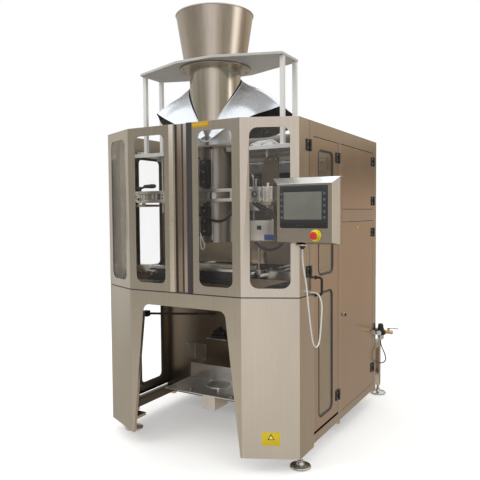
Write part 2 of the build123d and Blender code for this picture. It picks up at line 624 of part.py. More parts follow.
DANCER = (1195, 640)
IDLER = (1195, 850)
AIR_YZ = (1225, 520)
HOSE_ROUTE = ((700, 1225, 455), (700, 1225, 427), (708, 1229, 398), (722, 1235, 366), (733, 1240, 332),
              (736, 1244, 300), (719, 1245, 277), (693, 1244, 268), (666, 1241, 277), (650, 1238, 300),
              (650, 1235, 325), (650, 1223, 346), (650, 1202, 358), (650, 1172, 358))


def air_unit():
    y, z = AIR_YZ
    plate = block((650, 665), (REAR_Y, y + 30), (z - 20, z + 20))
    body = block((665, 735), (y - 30, y + 30), (z - 22, z + 30))
    bowl = rod("z", (700, y), 22, (455, z - 22))
    body = plate + body + bowl - rod("z", (700, y), 15, (z + 8, z + 32))
    body -= rod("x", (y, z), 5.7, (722, 736))
    valve = rod("x", (y, z), 15, (735, 790), inner=8)
    valve += rod("z", (760, y), 9, (z + 14, z + 24))
    valve -= rod("z", (760, y), 5.05, (z + 12, z + 26))
    fitting = rod("y", HOSE_ROUTE[-1][::2], 9, (REAR_Y, HOSE_ROUTE[-1][1]))
    NODES["air_unit"] = [body, valve, fitting]
    NODES["regulator_knob"] = [rod("z", (700, y), 14.95, (z + 10, z + 32))
                               + rod("z", (700, y), 20, (z + 31, z + 62))]
    lever = rod("z", (760, y), 5, (z + 16, z + 30)) + block((751, 835), (y - 8, y + 8), (z + 26, z + 30))
    NODES["valve_lever"] = [lever]
    NODES["air_hose"] = [route_tube(HOSE_ROUTE, 4)]


def control_panel():
    plate = block((-560, 560), (1060, 1063), (250, 1300))
    solids = [plate, block((-560, 560), (1063, 1082), (250, 270)),
              block((-560, 560), (1063, 1082), (1280, 1300))]
    for z in (400, 700, 1000):
        for k in range(7):
            x = -490 + 150 * k
            solids.append(block((x, x + 90), (960, 1060), (z, z + 180)))
    NODES["control_panel"] = solids


# ---- build, place and write ---------------------------------------------
def build():
    frame_tubes()
    front_base_panel()
    fixed_panels()
    levelling_feet()
    platform()
    funnel_and_tube()
    forming_shoulder()
    hinges()
    front_doors()
    side_doors()
    terminal()
    vertical_sealer()
    belts()
    jaws()
    tube_guard()
    bag_support()
    film_rack()
    air_unit()
    control_panel()


CORD_NODES = ("hmi_cable", "air_hose")


def footprint_shift():
    """The move that puts the origin under the middle of everything but the cords."""
    solids = [solid for name, group in NODES.items() if name not in CORD_NODES for solid in group]
    box = Compound(children=solids).bounding_box()
    return (-(box.min.X + box.max.X) / 2, -(box.min.Y + box.max.Y) / 2, -box.min.Z)


build()
SHIFT = footprint_shift()
print("shift", [round(value, 3) for value in SHIFT], "nodes", len(NODES))
os.makedirs("parts", exist_ok=True)
for name, group in NODES.items():
    solids = [solid for shape in group for solid in (Pos(*SHIFT) * shape).solids()]
    export_step(Compound(label=name, children=solids), os.path.join("parts", name + ".step"))
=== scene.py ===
import json
from itertools import product
from math import atan2, cos, pi, radians, sin

import bmesh
import bpy
from mathutils import Matrix, Vector


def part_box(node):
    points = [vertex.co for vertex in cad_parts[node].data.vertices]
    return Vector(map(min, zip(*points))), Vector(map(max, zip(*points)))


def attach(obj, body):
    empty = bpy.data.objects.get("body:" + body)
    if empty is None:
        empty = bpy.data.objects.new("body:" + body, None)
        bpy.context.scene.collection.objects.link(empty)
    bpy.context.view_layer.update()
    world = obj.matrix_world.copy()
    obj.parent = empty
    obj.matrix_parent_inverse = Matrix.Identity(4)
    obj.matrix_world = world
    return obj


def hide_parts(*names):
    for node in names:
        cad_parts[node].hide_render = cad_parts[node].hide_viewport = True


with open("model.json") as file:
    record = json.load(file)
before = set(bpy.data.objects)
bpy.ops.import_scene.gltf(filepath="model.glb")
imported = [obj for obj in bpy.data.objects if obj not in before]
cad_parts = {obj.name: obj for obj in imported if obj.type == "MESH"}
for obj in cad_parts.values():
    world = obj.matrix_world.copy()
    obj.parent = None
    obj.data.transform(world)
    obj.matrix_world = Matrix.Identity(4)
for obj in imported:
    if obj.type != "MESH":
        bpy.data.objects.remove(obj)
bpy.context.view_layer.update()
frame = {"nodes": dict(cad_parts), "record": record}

# Places below are in machine millimetres: X and Y from the forming tube's axis, Z from
# the floor, -Y towards the operator. at() turns them into the row frame's metres.
MM = 0.001
TUBE_LOW, TUBE_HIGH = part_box("forming_tube")
AXIS = (TUBE_LOW + TUBE_HIGH) / 2
TO_ROW = Matrix.Translation((AXIS.x, AXIS.y, 0)) @ Matrix.Diagonal((MM, MM, MM, 1))
MIRROR = Matrix.Diagonal((-1, 1, 1, 1))


def at(x, y, z):
    return TO_ROW @ Vector((x, y, z))


def span_of(node):
    """A CAD node's (low, high) pairs along X, Y and Z, in machine millimetres."""
    to_machine = TO_ROW.inverted()
    low, high = (to_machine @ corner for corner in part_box(node))
    return tuple(zip(low, high))


# ---- node graphs ----
class Graph:
    """A node tree, with short calls for the nodes in it."""

    def __init__(self, tree, place):
        self.tree = tree
        self.place = self.node("ShaderNodeTexCoord", {}).outputs[place]

    def put(self, socket, value):
        if isinstance(value, bpy.types.NodeSocket):
            self.tree.links.new(value, socket)
        else:
            socket.default_value = value

    def node(self, kind, inputs, **settings):
        made = self.tree.nodes.new(kind)
        for name, value in settings.items():
            setattr(made, name, value)
        for name, value in inputs.items():
            self.put(made.inputs[name], value)
        return made

    def noise(self, scale, detail=3, stretch=(1, 1, 1), roughness=0.5):
        moved = self.node("ShaderNodeMapping", {"Vector": self.place, "Scale": stretch})
        made = self.node("ShaderNodeTexNoise", {"Vector": moved.outputs[0], "Scale": scale,
                                                "Detail": detail, "Roughness": roughness})
        return made.outputs["Fac"]

    def ramp(self, value, stops):
        made = self.node("ShaderNodeValToRGB", {"Fac": value})
        elements = made.color_ramp.elements
        while len(elements) < len(stops):
            elements.new(0.5)
        for element, (place, colour) in zip(elements, stops):
            element.position = place
            element.color = (*colour, 1)
        return made.outputs["Color"]

    def remap(self, value, low, high, source=(0.3, 0.7)):
        return self.node("ShaderNodeMapRange", {"Value": value, "From Min": source[0], "From Max": source[1],
                                                "To Min": low, "To Max": high}).outputs[0]

    def blend(self, share, a, b, mode="MIX"):
        """Colour a where share is 0 and b where it is 1; either may be a constant."""
        made = self.node("ShaderNodeMix", {0: share}, data_type="RGBA", blend_type=mode)
        for socket, value in zip(made.inputs[6:8], (a, b)):
            self.put(socket, (*value, 1) if isinstance(value, tuple) else value)
        return made.outputs[2]

    def math(self, operation, a, b=0):
        return self.node("ShaderNodeMath", {0: a, 1: b}, operation=operation).outputs[0]

    def parts(self, vector):
        return self.node("ShaderNodeSeparateXYZ", {"Vector": vector}).outputs


class Finish(Graph):
    """A Principled material."""

    def __init__(self, name, **values):
        self.material = bpy.data.materials.new(name)
        self.material.use_nodes = True
        super().__init__(self.material.node_tree, "Object")
        self.shader = self.tree.nodes["Principled BSDF"]
        for socket, value in values.items():
            self.feed(socket.replace("_", " "), value)

    def feed(self, socket, value):
        self.put(self.shader.inputs[socket], value)

    def drift(self, value, colour, share):
        """Lets the base colour wander by share either side of colour, as value goes from 0.3 to 0.7."""
        return self.ramp(self.remap(value, 0, 1), ((0, shade(colour, 1 - share)),
                                                   (1, shade(colour, 1 + share))))

    def bump(self, height, distance, strength=0.3):
        made = self.node("ShaderNodeBump", {"Height": height, "Distance": distance, "Strength": strength})
        self.feed("Normal", made.outputs[0])


def shade(colour, share):
    return tuple(min(1, c * share) for c in colour)


CABINET = ((-0.6785, 0.6785), (-0.236, 1.158), (0.098, 1.946))      # metres, about the tube's axis
DEPTHS = (0.20, 1.05)                # heights between which the painted shade on the cabinet's inside goes from dark to clear
DARKEST = 0.30                       # share of the inside's colour that is left at the lower height, where the painted shade is deepest
DULLED = 0.16                        # roughness that the inside has on top of the outside's


# The mask for the painted shade inside the cabinet.
def inside_cabinet(g):
    """1 for surfaces that lie within the cabinet's skin, 0 for its outside."""
    share = 1.0
    for along, (low, high), axis in zip(g.parts(g.place), CABINET, (AXIS.x, AXIS.y, 0)):
        away = g.math("ABSOLUTE", g.math("SUBTRACT", along, (low + high) / 2 + axis))
        share = g.math("MULTIPLY", share, g.math("LESS_THAN", away, (high - low) / 2))
    return share


GRAIN_POLISH = 0.04   # how far the grain moves the roughness each way


def sheet_metal(name, colour, roughness, grain=(160, 160, 3), drift=0.10, bump=0.00006, dim=None, metal=1,
                faces=None):
    """Rolled or brushed sheet: fine grain, cloudy wipe marks and a slow drift of tone.

    The inside colour is painted shade on surfaces within the cabinet, darker still towards the floor; faces
    is (colour, low, high): a painted shade or painted highlight on the surfaces whose upward slope lies
    between low and high.
    """
    g = Finish(name, Metallic=metal)
    clouds = g.noise(2.3, 4, (1, 1, 0.45))
    fine = g.noise(1, 2, grain, 0.6)
    tone = g.math("ADD", g.math("MULTIPLY", clouds, 0.65), g.math("MULTIPLY", fine, 0.35))
    shown = g.drift(tone, colour, drift)
    # Painted shade or painted highlight: surfaces whose upward slope lies in the given range take the faces
    # colour.
    if faces:
        slope = g.parts(g.node("ShaderNodeNewGeometry", {}).outputs["Normal"])[2]
        shown = g.blend(g.remap(slope, 0, 1, faces[1:]), shown, faces[0])
    wiped = g.noise(7, 5, (1, 1, 0.3), 0.62)
    marks = g.math("ADD", g.math("MULTIPLY", wiped, 0.6), g.math("MULTIPLY", fine, 0.4))
    rough = g.remap(marks, roughness - GRAIN_POLISH, roughness + GRAIN_POLISH)
    # Painted shade inside the cabinet: the inside colour, darker still towards the floor, and a duller
    # roughness.
    if dim:
        within = inside_cabinet(g)
        depth = g.remap(g.parts(g.place)[2], 0, 1, DEPTHS)
        shown = g.blend(within, shown, g.ramp(depth, ((0, shade(dim, DARKEST)), (1, dim))))
        rough = g.math("ADD", rough, g.math("MULTIPLY", within, DULLED))
    g.feed("Base Color", shown)
    g.feed("Roughness", rough)
    g.bump(fine, bump, 0.4)
    return g.material


def moulded(name, colour, roughness, metallic=0, speckle=420, drift=0.08, coat=0, bump=0.00008):
    """Paint, plastic or rubber: a fine surface texture and slightly uneven wear."""
    g = Finish(name, Metallic=metallic, Coat_Weight=coat, Coat_Roughness=0.12)
    g.feed("Base Color", g.drift(g.noise(9, 4), colour, drift))
    g.feed("Roughness", g.remap(g.noise(26, 5), roughness - 0.06, roughness + 0.06))
    g.bump(g.noise(speckle, 2), bump)
    return g.material


def clear_sheet(name, tint, haze, gain):
    """Thin clear plastic: it mirrors more as it is seen more edge-on, and is a little hazy with wiping."""
    g = Finish(name, Metallic=1, Base_Color=(*tint, 1))
    g.feed("Roughness", g.remap(g.noise(14, 4, (1, 1, 0.4)), 0.015, 0.05))
    facing = g.node("ShaderNodeLayerWeight", {"Blend": 0.5}).outputs["Facing"]
    mirror = g.math("MULTIPLY", g.math("POWER", facing, 4), gain)
    wiped = g.remap(g.noise(5, 5, (1, 1, 0.5)), haze * 0.6, haze * 1.4)
    g.feed("Alpha", g.math("ADD", mirror, wiped))
    return g.material


def ground_metal(name, colour, roughness):
    """Turned, ground or milled metal with faint tool marks."""
    g = Finish(name, Metallic=1)
    marks = g.noise(240, 3, (1, 1, 1), 0.7)
    g.feed("Base Color", g.drift(g.noise(11, 4), colour, 0.07))
    g.feed("Roughness", g.remap(marks, roughness - 0.05, roughness + 0.07))
    g.bump(marks, 0.00003)
    return g.material


def rubber_strip(name, colours, roughness):
    g = Finish(name)
    ribs = g.noise(1, 1, (900, 900, 2))
    g.feed("Base Color", g.ramp(ribs, tuple(zip((0.3, 0.8), colours))))
    g.feed("Roughness", g.remap(g.noise(30, 4), *roughness))
    g.bump(ribs, 0.0002)
    return g.material


# Each finish: its kind, colour, roughness (a pane's haze and gain) and what else it sets.
FINISHES = {
    "stainless_door": (sheet_metal, (0.60, 0.565, 0.50), 0.25),
    # The inside colours given below are painted shade for the parts within the cabinet.
    "stainless_panel": (sheet_metal, (0.62, 0.575, 0.505), 0.30, {"dim": (0.46, 0.42, 0.36)}),
    "stainless_side": (sheet_metal, (0.60, 0.50, 0.42), 0.19, {"drift": 0.06, "bump": 0.00003,
                                                               "dim": (0.46, 0.39, 0.31)}),
    "frame_steel": (sheet_metal, (0.58, 0.53, 0.47), 0.20, {"dim": (0.42, 0.37, 0.31)}),
    "white_paint": (moulded, (0.82, 0.82, 0.80), 0.32, {"coat": 0.3, "drift": 0.03, "bump": 0.00002}),
    "polished_tube": (sheet_metal, (0.54, 0.52, 0.46), 0.16, {"grain": (60, 60, 2),
                                                              "dim": (0.34, 0.32, 0.30)}),
    "funnel_steel": (sheet_metal, (0.565, 0.525, 0.465), 0.25, {"grain": (45, 45, 2)}),
    # shoulder_sheet's faces colour is a near-black painted shade on its downward-facing surfaces.
    "shoulder_sheet": (sheet_metal, (0.84, 0.87, 0.91), 0.26, {"drift": 0.05, "metal": 0.62,
                                                               "faces": ((0.10, 0.095, 0.085), 0.05, -0.15)}),
    "clear_panel": (clear_sheet, (0.80, 0.82, 0.80), 0.02, {"gain": 0.6}),
    "mirror_panel": (clear_sheet, (0.80, 0.76, 0.68), 0.22, {"gain": 1.6}),
    "black_fitting": (moulded, (0.018, 0.018, 0.018), 0.42),
    "black_rubber": (rubber_strip, ((0.030, 0.027, 0.027), (0.075, 0.070, 0.072)), (0.38, 0.55)),
    # terminal_case's faces colour is a near-white painted highlight on its upward-facing surfaces.
    "terminal_case": (sheet_metal, (0.50, 0.465, 0.415), 0.24, {"grain": (3, 160, 160),
                                                                "faces": ((0.97, 0.97, 0.96), 0.25, 0.5)}),
    "terminal_bezel": (moulded, (0.030, 0.035, 0.038), 0.42),
    "warning_yellow": (moulded, (0.90, 0.76, 0.02), 0.30, {"coat": 0.5, "drift": 0.03}),
    "warning_red": (moulded, (0.72, 0.035, 0.025), 0.30, {"coat": 0.5, "drift": 0.05}),
    "white_cable": (moulded, (0.82, 0.82, 0.80), 0.38, {"drift": 0.04}),
    "black_hose": (moulded, (0.020, 0.021, 0.023), 0.33, {"drift": 0.2}),
    "machine_aluminium": (ground_metal, (0.74, 0.73, 0.71), 0.30),
    "jaw_block": (moulded, (0.045, 0.046, 0.048), 0.36, {"metallic": 0.4}),
    "shaft_steel": (ground_metal, (0.72, 0.71, 0.69), 0.12),
    "blade_steel": (ground_metal, (0.74, 0.74, 0.75), 0.16),
    "roller_aluminium": (ground_metal, (0.76, 0.76, 0.77), 0.22),
    "zinc_fastener": (ground_metal, (0.52, 0.50, 0.455), 0.24),
    # Painted shade: the platform plate is this grey all over, standing for the shade on its underside.
    "platform_painted_shade": (moulded, (0.56, 0.55, 0.525), 0.42, {"drift": 0.04, "bump": 0.00002}),
    "cabinet_parts": (moulded, (0.44, 0.46, 0.47), 0.50),
    "flange_steel": (ground_metal, (0.36, 0.33, 0.27), 0.34),
    "brass": (ground_metal, (0.72, 0.50, 0.24), 0.24),
    "screen_glass": (moulded, (0.185, 0.190, 0.165), 0.16, {"coat": 0.6, "drift": 0.10, "speckle": 900}),
    "key_grey": (moulded, (0.12, 0.13, 0.135), 0.40),
    "label_orange": (moulded, (0.60, 0.33, 0.016), 0.42, {"drift": 0.04}),
    "label_yellow": (moulded, (0.78, 0.58, 0.020), 0.40, {"drift": 0.04}),
    "label_ink": (moulded, (0.10, 0.075, 0.01), 0.45),
    "label_tint": (moulded, (0.70, 0.52, 0.02), 0.42),
    "label_pale": (moulded, (0.95, 0.86, 0.35), 0.42),
    "brown_guide": (moulded, (0.115, 0.088, 0.056), 0.45, {"drift": 0.12}),
    # On the stiles these tones are painted reflection and the bright fold is a painted highlight, all on
    # stainless steel.
    "copper_and_painted_reflection": (sheet_metal, (0.36, 0.295, 0.24), 0.20, {"drift": 0.2}),
    "fold_painted_highlight": (sheet_metal, (0.74, 0.68, 0.58), 0.28, {"drift": 0.05, "metal": 0.85}),
    "stile_painted_reflection": (sheet_metal, (0.50, 0.43, 0.38), 0.20, {"drift": 0.2}),
    "gauge_face": (moulded, (0.86, 0.86, 0.84), 0.30, {"drift": 0.02}),
    "belt_rubber": (moulded, (0.030, 0.030, 0.032), 0.55, {"drift": 0.25}),
    "blue_plastic": (moulded, (0.030, 0.085, 0.30), 0.35),
}
MATERIALS = {}
ZINC, STEEL, ALUMINIUM = "zinc_fastener", "shaft_steel", "machine_aluminium"
FITTING, RUBBER = "black_fitting", "black_rubber"


def finish_of(name):
    if name not in MATERIALS:
        make, colour, roughness, *rest = FINISHES[name]
        MATERIALS[name] = make(name, colour, roughness, **(rest[0] if rest else {}))
    return MATERIALS[name]


SLOT_OF = {subpart["node"]: subpart["material_slot"] for subpart in frame["record"]["subparts"]}
# The platform plate's own finish is a grey painted shade.
OWN_FINISH = {"side_windows_right": "mirror_panel", "tube_flange": "flange_steel",
              "platform_plate": "platform_painted_shade"}
for node, slot in SLOT_OF.items():
    mesh = frame["nodes"][node].data
    mesh.materials.clear()
    mesh.materials.append(finish_of(OWN_FINISH.get(node, slot)))

# Width in millimetres of the rounded edges that sheet and machined nodes are given.
SOFTENED = {"hmi_box": 1.6, "front_door_left": 0.7, "front_door_right": 0.7, "front_base_panel": 0.8,
            "side_door_right": 0.8, "rear_upper_door": 0.8, "rear_lower_door": 0.8, "frame_tubes": 1,
            "platform_plate": 1.2, "platform_posts": 2, "inner_deck": 1.2, "film_rack": 1.5,
            "hmi_bracket": 0.8, "jaw_guides": 0.8, "tube_flange": 1.2, "control_panel": 2,
            "jaw_rear": 1, "jaw_front": 1, "bag_lift_base": 1, "belt_hangers": 1}
for node, width in SOFTENED.items():
    carried = frame["nodes"][node]
    weld = carried.modifiers.new("weld", "WELD")
    weld.merge_threshold = 0.00001
    round_off = carried.modifiers.new("edges", "BEVEL")
    round_off.width = width * MM
    round_off.segments = 2
    round_off.limit_method = "ANGLE"
    round_off.angle_limit = radians(40)
    round_off.harden_normals = True


# ---- mesh pieces ----
def spot(axis, a, b, along):
    """The point a, b across an axis "x", "y" or "z", and along it."""
    return Vector({"x": (along, a, b), "y": (a, along, b), "z": (a, b, along)}[axis])


def about(middle, reach):
    return (middle - reach, middle + reach)


def circle(centre, radius, count, start=0, step=None):
    """Count points round centre from the start angle, in degrees: evenly round, or step apart."""
    turns = [radians(start + (step or 360 / count) * k) for k in range(count)]
    return [(centre[0] + radius * cos(turn), centre[1] + radius * sin(turn)) for turn in turns]


def rounded_path(x, y, radius, steps=6):
    """Points round a rectangle with rounded corners, from its (low, high) pairs."""
    points = []
    for cx, cy, start in ((x[1] - radius, y[1] - radius, 0), (x[0] + radius, y[1] - radius, 90),
                          (x[0] + radius, y[0] + radius, 180), (x[1] - radius, y[0] + radius, 270)):
        points += circle((cx, cy), radius, steps + 1, start, 90 / steps)
    return points


class Piece:
    """A mesh in machine millimetres, put together from bevelled and turned shapes."""

    def __init__(self, name, body, *finishes, slot=None, replaces=None):
        self.name = name
        self.body = body
        self.finishes = finishes
        self.slot = slot or SLOT_OF.get(replaces, finishes[0])
        self.replaces = replaces
        self.place = Matrix.Identity(4)
        self.bm = bmesh.new()

    def merge(self, bm, paint):
        bmesh.ops.recalc_face_normals(bm, faces=bm.faces)
        bmesh.ops.transform(bm, matrix=self.place, verts=bm.verts)
        if self.place.determinant() < 0:
            bmesh.ops.reverse_faces(bm, faces=bm.faces)
        for face in bm.faces:
            face.material_index = paint
        mesh = bpy.data.meshes.new("part")
        bm.to_mesh(mesh)
        bm.free()
        self.bm.from_mesh(mesh)
        bpy.data.meshes.remove(mesh)

    def box(self, x, y, z, edge=0.8, paint=0):
        spans = (sorted(x), sorted(y), sorted(z))
        size = Vector([high - low for low, high in spans])
        bm = bmesh.new()
        bmesh.ops.create_cube(bm, size=1)
        bmesh.ops.scale(bm, vec=size, verts=bm.verts)
        bmesh.ops.translate(bm, vec=[(low + high) / 2 for low, high in spans], verts=bm.verts)
        bmesh.ops.bevel(bm, geom=list(bm.edges), offset=min(edge, 0.3 * min(size)), segments=2,
                        profile=0.6, affect="EDGES")
        self.merge(bm, paint)

    def boxes(self, edge, paint, *places):
        for x, y, z in places:
            self.box(x, y, z, edge, paint)

    def lathe(self, axis, centre, profile, paint=0, sides=40, base=0):
        """Turns (radius, along) points about the line through centre; along counts from base."""
        bm = bmesh.new()
        rings = []
        for radius, along in profile:
            corners = circle(centre, radius, sides) if radius else [centre]
            rings.append([bm.verts.new(spot(axis, a, b, base + along)) for a, b in corners])
        for low, high in zip(rings, rings[1:]):
            for k in range(sides):
                ends = (low[k % len(low)], low[(k + 1) % len(low)], high[(k + 1) % len(high)],
                        high[k % len(high)])
                corners = list(dict.fromkeys(ends))
                if len(corners) > 2:
                    bm.faces.new(corners)
        bmesh.ops.remove_doubles(bm, verts=bm.verts, dist=0.001)
        self.merge(bm, paint)

    def rod(self, axis, centre, radius, span, edge=0.8, paint=0, sides=40):
        low, high = sorted(span)
        edge = min(edge, 0.3 * radius, 0.3 * (high - low))
        self.lathe(axis, centre, ((0, low), (radius - edge, low), (radius, low + edge), (radius, high - edge),
                                  (radius - edge, high), (0, high)), paint, sides)

    def rods(self, axis, centres, radius, span, edge=0.8, paint=0, sides=40):
        for centre in centres:
            self.rod(axis, centre, radius, span, edge, paint, sides)

    def ring(self, axis, centre, inner, outer, span, edge=0.6, paint=0, sides=48):
        low, high = sorted(span)
        self.lathe(axis, centre, ((inner, low), (outer - edge, low), (outer, low + edge),
                                  (outer, high - edge), (outer - edge, high), (inner, high), (inner, low)),
                   paint, sides)

    def loft(self, bm, low, high):
        """Joins two rings of corners with a band of faces."""
        for k in range(len(low)):
            nxt = (k + 1) % len(low)
            bm.faces.new((low[k], low[nxt], high[nxt], high[k]))

    def prism(self, axis, outline, span, edge=0.5, paint=0):
        bm = bmesh.new()
        low, high = ([bm.verts.new(spot(axis, a, b, along)) for a, b in outline] for along in sorted(span))
        bm.faces.new(low)
        bm.faces.new(high)
        self.loft(bm, low, high)
        rims = [found for found in bm.edges if set(found.verts) <= set(low) or set(found.verts) <= set(high)]
        if edge:
            bmesh.ops.bevel(bm, geom=rims, offset=edge, segments=2, profile=0.6, affect="EDGES")
        self.merge(bm, paint)

    def sweep(self, points, profile, up, closed=False):
        """Carries a closed profile of (side, up) offsets along points that lie in one plane."""
        bm = bmesh.new()
        up = Vector(up)
        points = [Vector(point) for point in points]
        count = len(points)
        rings = []
        for k, point in enumerate(points):
            before = points[(k - 1) % count] if closed or k else point
            after = points[(k + 1) % count] if closed or k < count - 1 else point
            side = (after - before).normalized().cross(up)
            rings.append([bm.verts.new(point + side * a + up * b) for a, b in profile])
        for low, high in zip(rings, rings[1:] + rings[:1] if closed else rings[1:]):
            self.loft(bm, low, high)
        if not closed:
            bm.faces.new(rings[0])
            bm.faces.new(rings[-1])
        self.merge(bm, 0)

    def bolts(self, axis, centres, seat, out=1, size=6, paint=0, socket=False):
        """Hexagon or cap screws with their washers, the heads standing out from seat."""
        for centre in centres:
            self.rod(axis, centre, size * 1.25, (seat, seat + out * size * 0.22), 0.3, paint, 20)
            if socket:
                top = out * size * 1.2
                self.lathe(axis, centre, ((size * 0.9, 0), (size * 0.9, top - out * 0.5), (size * 0.8, top),
                                          (size * 0.45, top), (size * 0.4, top - out * size * 0.5),
                                          (0, top - out * size * 0.5)), paint, 20, seat)
            else:
                self.prism(axis, circle(centre, size, 6, 17.19), (seat, seat + out * size * 0.8), 0.4, paint)

    def done(self):
        sharp = radians(38)
        for face in self.bm.faces:
            face.smooth = True
        for edge in self.bm.edges:
            edge.smooth = len(edge.link_faces) == 2 and edge.calc_face_angle(0) < sharp
        mesh = bpy.data.meshes.new(self.name)
        self.bm.to_mesh(mesh)
        self.bm.free()
        mesh.transform(TO_ROW)
        for name in self.finishes:
            mesh.materials.append(finish_of(name))
        made = bpy.data.objects.new(self.name, mesh)
        bpy.context.scene.collection.objects.link(made)
        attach(made, self.body)
        if self.replaces:
            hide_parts(self.replaces)


def curve_piece(name, body, finish, routes, radius, order=4):
    """Round tubes on smooth splines: routes holds lists of points, in machine millimetres."""
    data = bpy.data.curves.new(name, "CURVE")
    data.dimensions = "3D"
    data.bevel_depth = radius * MM
    data.bevel_resolution = 5
    data.resolution_u = 10
    data.use_fill_caps = True
    data.materials.append(finish_of(finish))
    for route in routes:
        spline = data.splines.new("NURBS")
        spline.points.add(len(route) - 1)
        for point, place in zip(spline.points, route):
            point.co = (*at(*place), 1)
        spline.order_u = min(order, len(route))
        spline.use_endpoint_u = True
    made = bpy.data.objects.new(name, data)
    bpy.context.scene.collection.objects.link(made)
    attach(made, body)
    return made


# ---- camera ----
def camera():
    yaw, pitch, roll = radians(30.05), radians(-2.81), radians(-0.45)
    forward = Vector((-sin(yaw) * cos(pitch), cos(yaw) * cos(pitch), sin(pitch)))
    level = Vector((cos(yaw), sin(yaw), 0))
    upright = level.cross(forward)
    right = level * cos(roll) + upright * sin(roll)
    up = upright * cos(roll) - level * sin(roll)
    data = bpy.data.cameras.new("camera")
    data.lens = 42.67
    data.sensor_width = 36
    data.clip_end = 100
    made = bpy.data.objects.new("camera", data)
    turn = Matrix((right, up, -forward)).transposed().to_4x4()
    made.matrix_world = Matrix.Translation(at(1934.9, -3050.7, 1441)) @ turn
    bpy.context.scene.collection.objects.link(made)
    bpy.context.scene.camera = made


camera()

# ---- cords ----
CORD_RADIUS = 4
CABLE_ROUTE = ((745, -350, 1247), (745, -350, 1192), (747, -337, 1134), (750, -318, 1075), (753, -308, 1015),
               (755, -301, 955), (757, -291, 897), (758, -278, 838), (760, -260, 766), (763, -247, 726),
               (765, -226, 710), (767, -202, 709), (768, -183, 724), (769, -174, 748), (770, -165, 790),
               (771, -158, 842), (771, -151, 882), (770, -145, 913), (766, -141, 940), (757, -136, 964),
               (743, -131, 983), (722, -128, 991), (700, -128, 991))
HOSE_ROUTE = ((700, 1225, 455), (700, 1225, 427), (708, 1229, 398), (722, 1235, 366), (733, 1240, 332),
              (736, 1244, 300), (719, 1245, 277), (693, 1244, 268), (666, 1241, 277), (650, 1238, 300),
              (650, 1235, 325), (650, 1223, 346), (650, 1202, 358), (650, 1172, 358))
CORDS = (("terminal_cable", "door_right", "white_cable", CABLE_ROUTE, 0.920, "hmi_cable"),
         ("drain_hose", "frame", "black_hose", HOSE_ROUTE, 0.373, "air_hose"))
for name, body, finish, route, length, node in CORDS:
    made = curve_piece(name, body, finish, [route], CORD_RADIUS, order=3)
    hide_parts(node)


# ---- light, floor and surroundings ----
# What the metal mirrors, all the way round: (angle in degrees from +X, colour).
WALLS = ((-180, (0.64, 0.62, 0.58)), (-150, (0.40, 0.37, 0.325)), (-122, (0.34, 0.315, 0.265)),
         (-98, (0.46, 0.42, 0.37)), (-76, (0.93, 0.87, 0.87)), (-60, (0.97, 0.90, 0.87)),
         (-35, (0.40, 0.35, 0.29)), (-4, (0.42, 0.37, 0.31)), (9, (2.10, 2.00, 1.90)),
         (20, (1.70, 1.58, 1.42)), (34, (0.30, 0.23, 0.175)), (60, (0.49, 0.375, 0.275)),
         (95, (0.44, 0.35, 0.27)), (140, (0.56, 0.53, 0.47)), (180, (0.64, 0.62, 0.58)))
LOW_WALLS = ((-180, (0.48, 0.45, 0.40)), (-122, (0.66, 0.60, 0.52)), (-98, (0.72, 0.66, 0.58)),
             (-70, (0.90, 0.86, 0.79)), (-35, (0.60, 0.54, 0.45)), (9, (1.20, 1.10, 0.98)),
             (34, (0.40, 0.33, 0.26)), (66, (0.42, 0.345, 0.27)), (110, (0.42, 0.37, 0.31)),
             (180, (0.48, 0.45, 0.40)))
WHITE, BLACK = (1, 1, 1), (0, 0, 0)


def surroundings():
    """White to the eye, soft and even as light, and a warm workshop in the mirrors of the metal."""
    world = bpy.data.worlds.new("studio")
    bpy.context.scene.world = world
    world.use_nodes = True
    world.node_tree.nodes.clear()
    g = Graph(world.node_tree, "Generated")
    part = g.parts(g.place)
    around = g.remap(g.math("ARCTAN2", part[1], part[0]), 0, 1, (-pi, pi))
    height = part[2]

    def panorama(stops):
        return g.ramp(around, [((angle + 180) / 360, colour) for angle, colour in stops])

    def change(low, high, a, b):
        """Turns a into b as the direction's height goes from low to high."""
        return g.blend(g.remap(height, 0, 1, (low, high)), a, b)

    stretched = g.node("ShaderNodeMapping", {"Vector": g.place, "Scale": (5, 5, 26)}).outputs[0]
    clutter = g.node("ShaderNodeTexNoise", {"Vector": stretched, "Scale": 1, "Detail": 5}).outputs["Fac"]
    mottled = g.ramp(clutter, ((0.30, (0.60, 0.57, 0.50)), (0.5, (0.95, 0.93, 0.90)),
                               (0.70, (1.30, 1.28, 1.22))))
    walls = g.blend(1, panorama(WALLS), change(0.02, 0.10, WHITE, mottled), "MULTIPLY")
    beside = panorama(((30, BLACK), (52, WHITE), (80, WHITE), (105, BLACK)))
    gloom = g.ramp(g.remap(height, 0, 1, (0, 0.2)), ((0.10, WHITE), (0.38, (0.42, 0.44, 0.42)),
                                                     (0.54, (0.60, 0.62, 0.62)), (0.68, (1.3, 1.4, 1.5))))
    walls = g.blend(1, walls, g.blend(beside, WHITE, gloom), "MULTIPLY")
    lowered = change(-0.150, -0.205, walls, panorama(LOW_WALLS))
    ceiling = change(0.23, 0.42, lowered, (1.22, 1.26, 1.32))
    ground = change(-0.38, -0.60, ceiling, (0.46, 0.42, 0.36))
    path = g.node("ShaderNodeLightPath", {}).outputs
    soft = change(-0.05, -0.35, (0.88, 0.875, 0.86), (0.20, 0.19, 0.17))
    lit = g.blend(path["Is Diffuse Ray"], ground, soft)
    seen = g.blend(path["Is Camera Ray"], lit, WHITE)
    shown = g.blend(path["Is Transmission Ray"], seen, WHITE)
    back = g.node("ShaderNodeBackground", {"Color": shown, "Strength": 1})
    g.node("ShaderNodeOutputWorld", {"Surface": back.outputs[0]})


